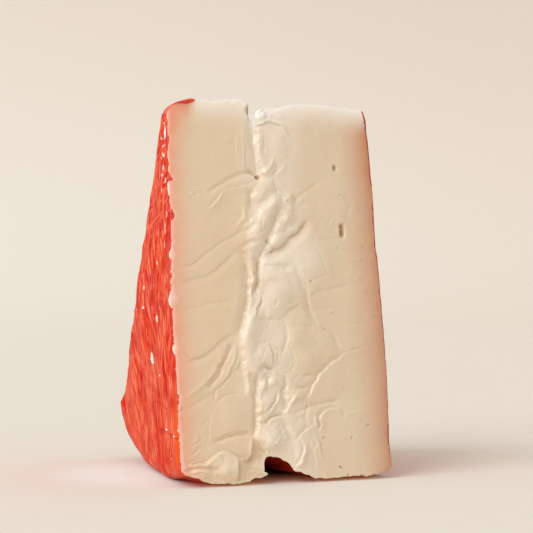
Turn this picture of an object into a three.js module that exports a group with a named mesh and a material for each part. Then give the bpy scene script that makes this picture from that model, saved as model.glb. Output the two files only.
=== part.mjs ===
// A wedge of red-rinded tomme, about a tenth of a small wheel. It stands on the wheel's
// outer rim with its thin end up, as one solid. Millimetres, +Z up. The front cut looks
// along -Y, the two flat faces of the wheel look along -X and +X, the rim is underneath.
// The origin is the middle of the wedge's box, on the floor.
import * as THREE from "three";

// Driving dimensions of the wheel and of the wedge cut from it
const WHEEL_RADIUS = 100;
const WHEEL_HEIGHT = 57.2; // between the flat faces, where they bulge most
const TOP_NARROWING = 1.1; // each flat face comes in by this much near the tip
const WHEEL_AXIS_Y = 26; // behind the foot of the front cut
const WHEEL_AXIS_Z = 99.1; // under a radius, so the rim is pressed flat where it stands
const FRONT_FOOT_Z = 2.4;
const TIP_Z = 97;
const FRONT_LEAN = 17; // the front cut leans back by this much at the tip
const TIP_THICKNESS = 4.8;
const FOOT_DEPTH = 64.5; // from the front cut to the back cut, along the floor
const BACK_FOOT_Z = 7;
const MIDDLE_X = 0.3; // the wheel's middle plane stands this far right of the origin
const LEFT_SHOULDER = [3.5, 7]; // rounding between flat face and rim, at the front and back cuts
const RIGHT_SHOULDER = [3.5, 7];
const FRONT_SAG = 0.25; // share of the rim's rise that is left at the front foot
const NOTCH_DEPTH = 35; // how far the hollow under the front edge runs back
const EDGE_WEAR = 0.45; // the cut's edges are this much softer than sharp
const EDGE_WEAR_WIDTH = 1.1;
const ORIGIN_Y = 31.5; // from the foot of the front cut back to the origin

// Counts of the grid that the surface is made from
const FRONT_COLUMNS = 38;
const FRONT_ROWS = 62;
const COARSE = 2; // other faces have one row or column for this many of the front's
const DEPTH_STEPS = 10;

const HALF_WIDTH = WHEEL_HEIGHT / 2;

// Outline of the front cut's lower edge: how far it lies above the rim, for each place across
const NOTCH_EDGE = [
  [-6.9, 0], [-6.2, 2.6], [-5.5, 6.0], [-4.5, 6.3], [-2, 5.4],
  [0, 4.5], [1.2, 2.6], [3.7, 1.8], [7.3, 0.3], [10, 0],
];
// Outline of the blunt tip: height for each place across, with the break near the middle
const TIP_EDGE = [
  [-29, 94.4], [-27.5, 96.2], [-25.6, 97.8], [-23.5, 98.6], [-20, 98.8], [-6.2, 98.8], [-5, 95.4],
  [-3.4, 94.6], [-1, 96.8], [2, 97], [7.5, 98.2], [14, 98.1], [24, 97.3], [27, 96.8], [29, 94],
];

// Relief of the front cut. Points are [across, up]; depths and heights stand off the cut.
// Clefts are V-shaped, each with its depth and half width.
const CLEFTS = [
  { depth: 1.4, half: 1.6, at: [[-5, 96], [-4.6, 88], [-4, 81], [-3.4, 78.2]] },
  { depth: 0.8, half: 1.0, at: [[-4, 93], [2.5, 93], [6, 89.5]] },
  { depth: 0.7, half: 1.3, at: [[-3.5, 78.1], [-6.5, 79.7], [-12, 77.3], [-18.5, 74]] },
  { depth: 0.6, half: 1.2, at: [[-4, 77.6], [-8, 75.9], [-13.3, 74.5], [-17.8, 70]] },
  { depth: 2.4, half: 2.6, at: [[1, 70], [-1, 66.5], [-2.4, 61.5], [-4.6, 56], [-5.3, 51], [-6.3, 48]] },
  { depth: 0.6, half: 1.1, at: [[1.3, 74.5], [-2, 72.4], [-4.8, 70.4]] },
  { depth: 0.9, half: 1.6, at: [[8, 65.3], [5, 63], [2.8, 62]] },
  { depth: 0.5, half: 1.2, at: [[14.2, 77.7], [10.5, 74.9], [6, 71.6]] },
  { depth: 0.5, half: 1.2, at: [[-26, 54.7], [-20.8, 56.9], [-14, 61.5], [-9.5, 63.5]] },
  { depth: 0.6, half: 1.2, at: [[-25.5, 50.2], [-18, 52.7], [-11, 58.8], [-5, 61.9]] },
  { depth: 2.0, half: 1.7, at: [[-8.3, 48.5], [-9.8, 42], [-11.7, 37.6]] },
  { depth: 0.8, half: 1.1, at: [[7.5, 52.5], [8.4, 46.5], [10, 42], [11.3, 39], [14, 37.6], [16.6, 33.2]] },
  { depth: 0.5, half: 1.1, at: [[-6.5, 41.4], [0, 41.2], [5, 44.2], [9.5, 43]] },
  { depth: 0.6, half: 1.2, at: [[-24.7, 30.9], [-18, 34.4], [-12.5, 37.7]] },
  { depth: 1.0, half: 1.5, at: [[-13.2, 33], [-15.6, 28.5], [-18.8, 24], [-25, 20]] },
  { depth: 1.6, half: 2.0, at: [[-4.5, 31], [-4.5, 28.4]] },
  { depth: 1.2, half: 1.4, at: [[0.6, 27.3], [-0.4, 24], [0.7, 20]] },
  { depth: 2.0, half: 1.4, at: [[-6.4, 27], [-7.9, 22], [-7.7, 15], [-8.8, 11.6], [-6.4, 8.4]] },
  { depth: 0.8, half: 1.1, at: [[-8.8, 11.6], [-14, 12], [-19.8, 10.6]] },
  { depth: 0.7, half: 1.1, at: [[16.5, 33], [12.3, 29.6], [9, 26], [6.2, 21]] },
  { depth: 0.7, half: 1.1, at: [[0.5, 17], [6.5, 18.9], [16.5, 21.4]] },
  { depth: 0.6, half: 1.1, at: [[9.3, 12], [9.7, 16], [14.8, 18.9]] },
  { depth: 0.8, half: 1.1, at: [[2.5, 9.8], [3.8, 11.4], [5.5, 12.6]] },
];
// Ridges are round-topped, each with its height and half width.
const RIDGES = [
  { height: 0.8, half: 1.3, at: [[-2.7, 91.5], [-3.3, 88], [-3, 82]] },
  { height: 1.1, half: 2.2, at: [[-1.5, 71], [-5, 66.5], [-9, 62.3]] },
  { height: 1.0, half: 2.2, at: [[5, 73], [3.8, 69], [0.6, 65], [-0.6, 61]] },
  { height: 1.5, half: 2.4, at: [[9.2, 66], [6, 61.5], [0.5, 57.8]] },
  { height: 1.6, half: 1.9, at: [[-7, 52.5], [-7.6, 47.5], [-9.3, 39], [-11, 34], [-10.6, 28], [-9.6, 24]] },
  { height: 0.6, half: 1.8, at: [[-15.2, 33], [-18.2, 27.5], [-24, 23]] },
  { height: 1.2, half: 2.0, at: [[-27, 5.5], [-20, 7], [-17.5, 8.8], [-12.5, 7.2]] },
];
// Swells and hollows: centre, half sizes across and up, and height (below zero for a hollow).
const SWELLS = [
  { height: 1.3, centre: [2.5, 49.5], half: [8, 8] },
  { height: 1.4, centre: [-4.5, 37], half: [6.5, 7] },
  { height: 0.8, centre: [4, 37], half: [6, 6] },
  { height: 0.8, centre: [7, 30], half: [6, 5.5] },
  { height: 1.3, centre: [-4.6, 21.5], half: [2.6, 5.5] },
  { height: 0.8, centre: [3.5, 22], half: [3, 3.5] },
  { height: 1.9, centre: [-2.6, 11.5], half: [5.5, 5] },
  { height: 0.9, centre: [3, 6.5], half: [2.6, 3.6] },
  { height: 2.4, centre: [-15.5, 4.4], half: [6.5, 4.6] },
  { height: 0.7, centre: [-14.5, 17], half: [6.5, 6.5] },
  { height: 0.6, centre: [16, 13], half: [9, 9] },
  { height: -1.2, centre: [-9, 51.5], half: [2.6, 6.5] },
  { height: -1.0, centre: [-8.6, 6.5], half: [3, 4] },
  { height: -1.4, centre: [-3, 94.5], half: [3.4, 3] },
];
// The hidden back cut is broken like the front, with fewer and broader forms.
const BACK_CLEFTS = [
  { depth: 1.6, half: 2.4, at: [[4, 90], [2, 72], [6, 58], [3, 40], [7, 24]] },
  { depth: 0.8, half: 1.8, at: [[-24, 62], [-12, 66], [2, 71]] },
  { depth: 0.8, half: 1.8, at: [[-22, 34], [-8, 30], [4, 38]] },
  { depth: 0.8, half: 1.8, at: [[5, 56], [14, 49], [24, 52]] },
];
const BACK_SWELLS = [
  { height: 1.4, centre: [-6, 50], half: [10, 13] },
  { height: 1.2, centre: [13, 34], half: [9, 12] },
  { height: 1.2, centre: [-12, 20], half: [10, 8] },
];
// Lumps of the rind on the flat faces: centre [back, up], half size and height.
const LEFT_RIND_LUMPS = [
  { height: 1.3, centre: [53, 38], half: [5, 4] },
  { height: 0.8, centre: [42, 62], half: [5, 4] },
  { height: 0.7, centre: [60, 16], half: [6, 5] },
];
const RIGHT_RIND_LUMPS = [
  { height: 0.8, centre: [48, 30], half: [7, 8] },
  { height: 0.7, centre: [34, 60], half: [6, 8] },
];

// Small helpers
const mix = (from, to, share) => from + (to - from) * share;
const clamp01 = (value) => Math.min(1, Math.max(0, value));
const smooth = (value) => {
  const t = clamp01(value);
  return t * t * (3 - 2 * t);
};

// The height of a broken line, given as [place, height] points, at one place.
function heightAlong(outline, place) {
  const last = outline.length - 1;
  if (place <= outline[0][0]) return outline[0][1];
  for (let i = 0; i < last; i++) {
    const [p0, h0] = outline[i];
    const [p1, h1] = outline[i + 1];
    if (place <= p1) return mix(h0, h1, (place - p0) / (p1 - p0));
  }
  return outline[last][1];
}

// Distance from (u, v) to a broken line, faded out to the line's two ends.
function nearLine(points, u, v) {
  let nearest = Infinity;
  let passed = 0;
  let placeOnLine = 0;
  for (let i = 0; i + 1 < points.length; i++) {
    const [u0, v0] = points[i];
    const du = points[i + 1][0] - u0;
    const dv = points[i + 1][1] - v0;
    const length = Math.hypot(du, dv);
    const share = clamp01(((u - u0) * du + (v - v0) * dv) / (length * length));
    const distance = Math.hypot(u - u0 - share * du, v - v0 - share * dv);
    if (distance < nearest) {
      nearest = distance;
      placeOnLine = passed + share * length;
    }
    passed += length;
  }
  const fade = smooth((4 * Math.min(placeOnLine, passed - placeOnLine)) / passed + 0.25);
  return { distance: nearest, fade };
}

function cleftHeight({ depth, half, at }, u, v) {
  const { distance, fade } = nearLine(at, u, v);
  return -depth * fade * clamp01(1 - distance / half) ** 1.3;
}

function ridgeHeight({ height, half, at }, u, v) {
  const { distance, fade } = nearLine(at, u, v);
  return height * fade * smooth(1 - distance / half);
}

function swellHeight({ height, centre, half }, u, v) {
  const distance = Math.hypot((u - centre[0]) / half[0], (v - centre[1]) / half[1]);
  return height * smooth(1 - distance);
}

const sumOf = (forms, heightOf, u, v) =>
  forms.reduce((sum, form) => sum + heightOf(form, u, v), 0);

// Slow unevenness of a broken face, from a few crossing waves
function ripple(u, v, phase) {
  return (
    0.5 * Math.sin(u / 4.3 + v / 9.1 + phase) +
    0.3 * Math.sin(u / 2.9 - v / 5.7 + 2 * phase) +
    0.2 * Math.sin(v / 3.1 + u / 7.9 + 3 * phase)
  );
}

function frontRelief(x, z) {
  const forms =
    sumOf(CLEFTS, cleftHeight, x, z) +
    sumOf(RIDGES, ridgeHeight, x, z) +
    sumOf(SWELLS, swellHeight, x, z);
  return forms + 0.15 * ripple(x, z, 0.7);
}

function backRelief(x, z) {
  const forms =
    sumOf(BACK_CLEFTS, cleftHeight, x, z) + sumOf(BACK_SWELLS, swellHeight, x, z);
  return forms + 0.35 * ripple(x, z, 2.1);
}

// Height of the rim over the floor: the wheel's arc, pressed flat in the middle
function rimHeight(y) {
  const offset = y - WHEEL_AXIS_Y;
  const arc = WHEEL_AXIS_Z - Math.sqrt(WHEEL_RADIUS ** 2 - offset ** 2);
  const share = offset < 0 ? FRONT_SAG : 1;
  return share * Math.max(arc, 0);
}

function lowerEdge(x, y) {
  const notch = heightAlong(NOTCH_EDGE, x) * clamp01(1 - y / NOTCH_DEPTH);
  return rimHeight(y) + notch;
}

// How far a flat face has come in where it rounds over into the rim
function shoulderInset(radius, heightOverRim) {
  const left = radius - Math.min(heightOverRim, radius);
  return radius - Math.sqrt(radius ** 2 - left ** 2);
}

function flatFaceOffset(side, y, z) {
  const lumps = side < 0 ? LEFT_RIND_LUMPS : RIGHT_RIND_LUMPS;
  const uneven = 0.3 * ripple(y, z, side + 1.9) + sumOf(lumps, swellHeight, y, z);
  return uneven - TOP_NARROWING * smooth((z - 45) / 50);
}

// A point of the wedge's surface or inside it, from three shares: across from left to right,
// back from the front cut to the back cut, and up from the rim to the tip.
function wedgePoint(across, back, up) {
  const side = across < 0 ? -1 : 1;
  const share = Math.abs(across);
  const yOnRim = back * FOOT_DEPTH;
  const nominalX = MIDDLE_X + across * HALF_WIDTH;
  const low = lowerEdge(nominalX, yOnRim);
  const z = mix(low, heightAlong(TIP_EDGE, nominalX), up);

  const rise = (z - FRONT_FOOT_Z) / (TIP_Z - FRONT_FOOT_Z);
  const yFront = FRONT_LEAN * rise;
  const backRise = (z - BACK_FOOT_Z) / (TIP_Z - BACK_FOOT_Z);
  const yBack = mix(FOOT_DEPTH, FRONT_LEAN + TIP_THICKNESS, backRise);
  const yPlain = mix(yFront, yBack, back);

  const shoulder = mix(...(side < 0 ? LEFT_SHOULDER : RIGHT_SHOULDER), back);
  const inset = shoulderInset(shoulder, z - low) - flatFaceOffset(side, yPlain, z);
  const x = nominalX - side * inset * share ** 3;

  const edge = HALF_WIDTH * (1 - share);
  const wear = EDGE_WEAR * Math.exp(-edge / EDGE_WEAR_WIDTH);
  const y = mix(
    yFront - frontRelief(x, z) + wear,
    yBack + backRelief(x, z) - wear,
    back,
  );
  return new THREE.Vector3(x, y - ORIGIN_Y, z);
}

// Places across the front, closer together in the middle band where the relief is strongest
function columnShares(count) {
  const shares = [];
  for (let i = 0; i <= count; i++) {
    const even = (2 * i) / count - 1;
    shares.push(even - 0.16 * Math.sin(Math.PI * (even + 0.08)) * (1 - even ** 2) ** 0.5);
  }
  return shares;
}

// Heights up the wedge, closer together over the rounded shoulders
function rowShares(count) {
  const shares = [];
  for (let i = 0; i <= count; i++) {
    const even = i / count;
    shares.push(even - 0.07 * Math.sin(Math.PI * even) * (1 - even));
  }
  return shares;
}

const evenShares = (count) => Array.from({ length: count + 1 }, (_, i) => i / count);

// Rows of points joined by triangles. Neighbouring rows may hold different numbers of points.
class Skin {
  constructor() {
    this.corners = [];
  }

  triangle(a, b, c) {
    for (const corner of [a, b, c]) this.corners.push(corner.x, corner.y, corner.z);
  }

  // Walks up two rows side by side, always stepping along the one that lags behind.
  strip(left, right) {
    let i = 0;
    let j = 0;
    while (i < left.length - 1 || j < right.length - 1) {
      const nextLeft = (i + 1) / (left.length - 1);
      const nextRight = (j + 1) / (right.length - 1);
      if (j === right.length - 1 || (i < left.length - 1 && nextLeft <= nextRight)) {
        this.triangle(left[i], right[j], left[i + 1]);
        i++;
      } else {
        this.triangle(left[i], right[j], right[j + 1]);
        j++;
      }
    }
  }

  face(rows) {
    for (let i = 0; i + 1 < rows.length; i++) this.strip(rows[i], rows[i + 1]);
  }
}

function cheeseGeometry() {
  const skin = new Skin();
  const columns = columnShares(FRONT_COLUMNS);
  const rows = rowShares(FRONT_ROWS);
  const coarseColumns = columns.filter((_, i) => i % COARSE === 0);
  const coarseRows = rows.filter((_, i) => i % COARSE === 0);
  const depths = evenShares(DEPTH_STEPS);
  const rowsAt = (back) => (back === 0 ? rows : coarseRows);
  const columnsAt = (back) => (back === 0 ? columns : coarseColumns);

  const upright = (across, back) => rowsAt(back).map((up) => wedgePoint(across, back, up));
  const level = (up, back) => columnsAt(back).map((across) => wedgePoint(across, back, up));

  skin.face(columns.map((across) => upright(across, 0)));
  skin.face([...coarseColumns].reverse().map((across) => upright(across, 1)));
  skin.face([...depths].reverse().map((back) => upright(-1, back)));
  skin.face(depths.map((back) => upright(1, back)));
  skin.face(depths.map((back) => level(1, back).reverse()));
  skin.face([...depths].reverse().map((back) => level(0, back).reverse()));

  const geometry = new THREE.BufferGeometry();
  geometry.setAttribute("position", new THREE.Float32BufferAttribute(skin.corners, 3));
  geometry.computeVertexNormals();
  return geometry;
}

const paste = new THREE.MeshStandardMaterial({
  name: "paste",
  color: 0xe3cfae,
  roughness: 0.45,
  metalness: 0,
});

const cheese = new THREE.Mesh(cheeseGeometry(), paste);
cheese.name = "cheese";

const wedge = new THREE.Group();
wedge.add(cheese);

export default wedge;
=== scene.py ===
"""A wedge of red-rinded tomme, standing on its rim: the broken cream face in front, the
streaked red flat face of the wheel at the left."""
import math
import random

import bpy
import numpy as np
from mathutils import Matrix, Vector


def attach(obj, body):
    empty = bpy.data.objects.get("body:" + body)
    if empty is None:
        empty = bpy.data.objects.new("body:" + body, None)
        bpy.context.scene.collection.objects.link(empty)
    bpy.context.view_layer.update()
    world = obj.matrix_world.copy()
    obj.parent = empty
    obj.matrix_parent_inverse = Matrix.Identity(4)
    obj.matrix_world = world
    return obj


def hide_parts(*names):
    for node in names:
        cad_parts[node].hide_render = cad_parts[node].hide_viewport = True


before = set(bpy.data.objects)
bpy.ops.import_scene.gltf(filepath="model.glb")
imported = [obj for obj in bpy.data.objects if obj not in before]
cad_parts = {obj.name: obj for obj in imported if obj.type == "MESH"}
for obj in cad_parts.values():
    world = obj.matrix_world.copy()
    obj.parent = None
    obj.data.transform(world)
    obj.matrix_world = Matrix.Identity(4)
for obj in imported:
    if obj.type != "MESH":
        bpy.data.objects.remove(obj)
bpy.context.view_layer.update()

MM = 0.001

# Driving dimensions, in millimetres, as in the solid's own source
WHEEL_RADIUS = 100
WHEEL_HEIGHT = 57.4
LEFT_NARROWING = 1.1
RIGHT_NARROWING = 0.6
TOP_LEVEL = 98
WHEEL_AXIS_Y = 26
WHEEL_AXIS_Z = 99.1
FRONT_FOOT_Z = 2.4
TIP_Z = 97
FRONT_LEAN = 17
TIP_THICKNESS = 4.8
FOOT_DEPTH = 64.5
BACK_FOOT_Z = 7
MIDDLE_X = 0.4
LEFT_SHOULDER = (1.8, 8.5)
RIGHT_SHOULDER = (1.6, 7)
FRONT_SAG = 0.25
NOTCH_DEPTH = 35
SPUR_X = -4.8  # the small spur at the foot of the notch's left wall
SPUR_Z = 2.75
SPUR_TOP = 8.2
SPUR_WIDTH = 2.6
SPUR_DEPTH = 12
SPUR_REACH = 1.45  # how far the wall lies back over it
EDGE_WEAR = 0.45
EDGE_WEAR_WIDTH = 1.1
ORIGIN_Y = 31.5
HALF_WIDTH = WHEEL_HEIGHT / 2
NARROWS_FROM = 45  # height at which the narrowing towards the thin end starts
NARROWS_OVER = 50
FOOT_ROWS = 0.28  # share of the rows that follow the uneven lower edge
TIP_ROWS = 0.24
NOTCH_LEFT = -7
NOTCH_RIGHT = 9.5
BREAK_X = -3.4  # the break in the thin end, which runs to the right behind
BREAK_REACH = 3.2
BREAK_SLANT = 1.8
CRUMBS_PLACE = (-1.2, 95.4)  # the whitish crumbs right of the break, and half their size
CRUMBS_HALF = (2.8, 2.3)
TORN_X = -3.5  # where the thin end's edge is torn most
TORN_LEFT_X = -13
TORN_WIDTH = 7
FLAP_END = -19.9
STREAKS_LEAN_BELOW = 45
STREAKS_LEAN_REACH = 62
LINE_SOFTNESS = 0.14  # over how many millimetres a fold's one side passes into the other
FOLD_CURVE = 1.6  # how much steeper a fold is at its line than at its foot

# Layers of fine unevenness: (height, size along the first direction, along the second, seed)
CURD_LAYERS = ((0.05, 2.1, 2.6, 3), (0.02, 0.7, 0.8, 4))
CRUMBLED_LAYERS = ((0.12, 0.9, 0.8, 6), (0.06, 0.4, 0.4, 7))
CRUMB_LAYERS = ((0.18, 0.9, 0.8, 8), (0.1, 0.4, 0.4, 10))
FOOT_LAYERS = ((0.2, 1.1, 3, 31), (0.12, 0.45, 2, 32))
TIP_LAYERS = ((0.25, 1.4, 1 / 3, 41), (0.12, 0.6, 1 / 7, 42))
STREAK_LAYERS = ((0.16, 2.1, 9, 51), (0.08, 1.1, 7, 52))
RIND_LAYERS = ((0.12, 2.4, 2.4, 53),)
LAP_LAYERS = ((0.18, 0.75, 2, 61), (0.15, 0.35, 2, 62))

# Counts of the fine grid
FRONT_COLUMNS = 232
FRONT_ROWS = 384
DEPTH_STEPS = 88
COARSE = 2
# Columns that the steep wall beside the spur needs besides the even ones
SPUR_COLUMNS = (-4.93, -4.8, -4.78, -4.765, -4.74, -4.7, -4.65, -4.5)

# Stage, in metres
FLOOR_HALF_WIDTH = 3.0
FLOOR_NEAR = -1.5
BEND_START = 1.1
BEND_RADIUS = 0.9
BEND_STEPS = 32
WALL_TOP = 2.4
# What shifts and scales the paler patch of paper beside the rind, which is painted light, to a ball of
# radius one
PAPER_SHIFT = (1.02, 0.06, 0.0)
PAPER_SCALE = (33.0, 28.0, 28.0)
# Between which places the warm light under the wedge grows, and turns from red to brown
GLOW_FRONT = (-0.0326, -0.0296)
GLOW_BACK = (-0.012, -0.028)
GLOW_SIDES = (0.0275, 0.0235)
GLOW_RED_TO_BROWN = (-0.024, -0.017)

# Light
SUN_FROM = (-0.928, -0.373)  # level direction that the soft light comes from
SUN_HEIGHT = 36.0  # degrees
SUN_SPREAD = 46.0  # degrees across, for a soft edge
SUN_POWER = 1.55
ROOM_LIGHT = 0.7

# Camera, with its distances in millimetres
CAMERA_AZIMUTH = 19.1  # degrees that the view turns to the right of straight ahead
CAMERA_DISTANCE = 387.2
CAMERA_HEIGHT = 55.0
CAMERA_ASIDE = 5.5
FOCAL_PIXELS = 1528.2
IMAGE_PIXELS = 533
SENSOR_WIDTH = 36.0

# Edge outlines of the front cut: the notch under it and the blunt tip above it
NOTCH_EDGE = [
    (-29, 2.6), (-27, 2.3), (-24, 1.4), (-23.3, 0.9), (-20, 0.3), (-14, 0), (-12, 0.1), (-10.3, 0.4),
    (-9.7, 0.9), (-9.1, 1.2), (-6.4, 1.3), (-5.6, 1.9), (-4.8, 2.9), (-4.78, 3.2), (-4.765, 3.6),
    (-4.74, 4.7), (-4.7, 5.7), (-4.65, 6.3), (-4.3, 6.45), (-3, 6.3), (-2, 5.8), (0, 5), (0.6, 4.2),
    (1.6, 2.7), (3.7, 2.1), (4.3, 1.7), (6, 1.2), (7.3, 0.5), (11, 0.1), (14, 0.3), (18, 0.5),
    (21.3, 0.7), (22, 0.4), (25, 0.7), (27.5, 1.2), (29, 1.6),
]
# How deep under the front cut the raised lower edge comes down to the floor: (across, depth)
EDGE_CURL = [
    (-29, 16), (-27, 16), (-24, 10), (-20, 5), (-14, 4), (-11, 8), (-7, 12), (9, 12), (12, 5),
    (18, 6), (22, 9), (26, 12), (29, 14),
]
TIP_EDGE = [
    (-29, 92.6), (-28.4, 94.6), (-27.6, 95.9), (-26.6, 96.9), (-25.2, 97.6), (-23.3, 98.1),
    (-21, 98.7), (-20.5, 98.5), (-17, 98.3), (-13.6, 98.3), (-9.9, 98.75), (-6.2, 98.7), (-5.3, 98),
    (-5.1, 95.4), (-4.8, 93.6), (-4.3, 92.9), (-3.7, 93), (-3.35, 94.4), (-3.1, 95.5), (-1.9, 96.2),
    (-0.5, 97), (1, 96.7), (2.9, 96.6), (4.7, 97.3), (7.2, 98), (14.3, 98.2), (19.3, 97.8),
    (24.4, 97.2), (27.7, 97), (28.3, 96.8), (28.6, 96), (29.2, 94),
]

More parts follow.
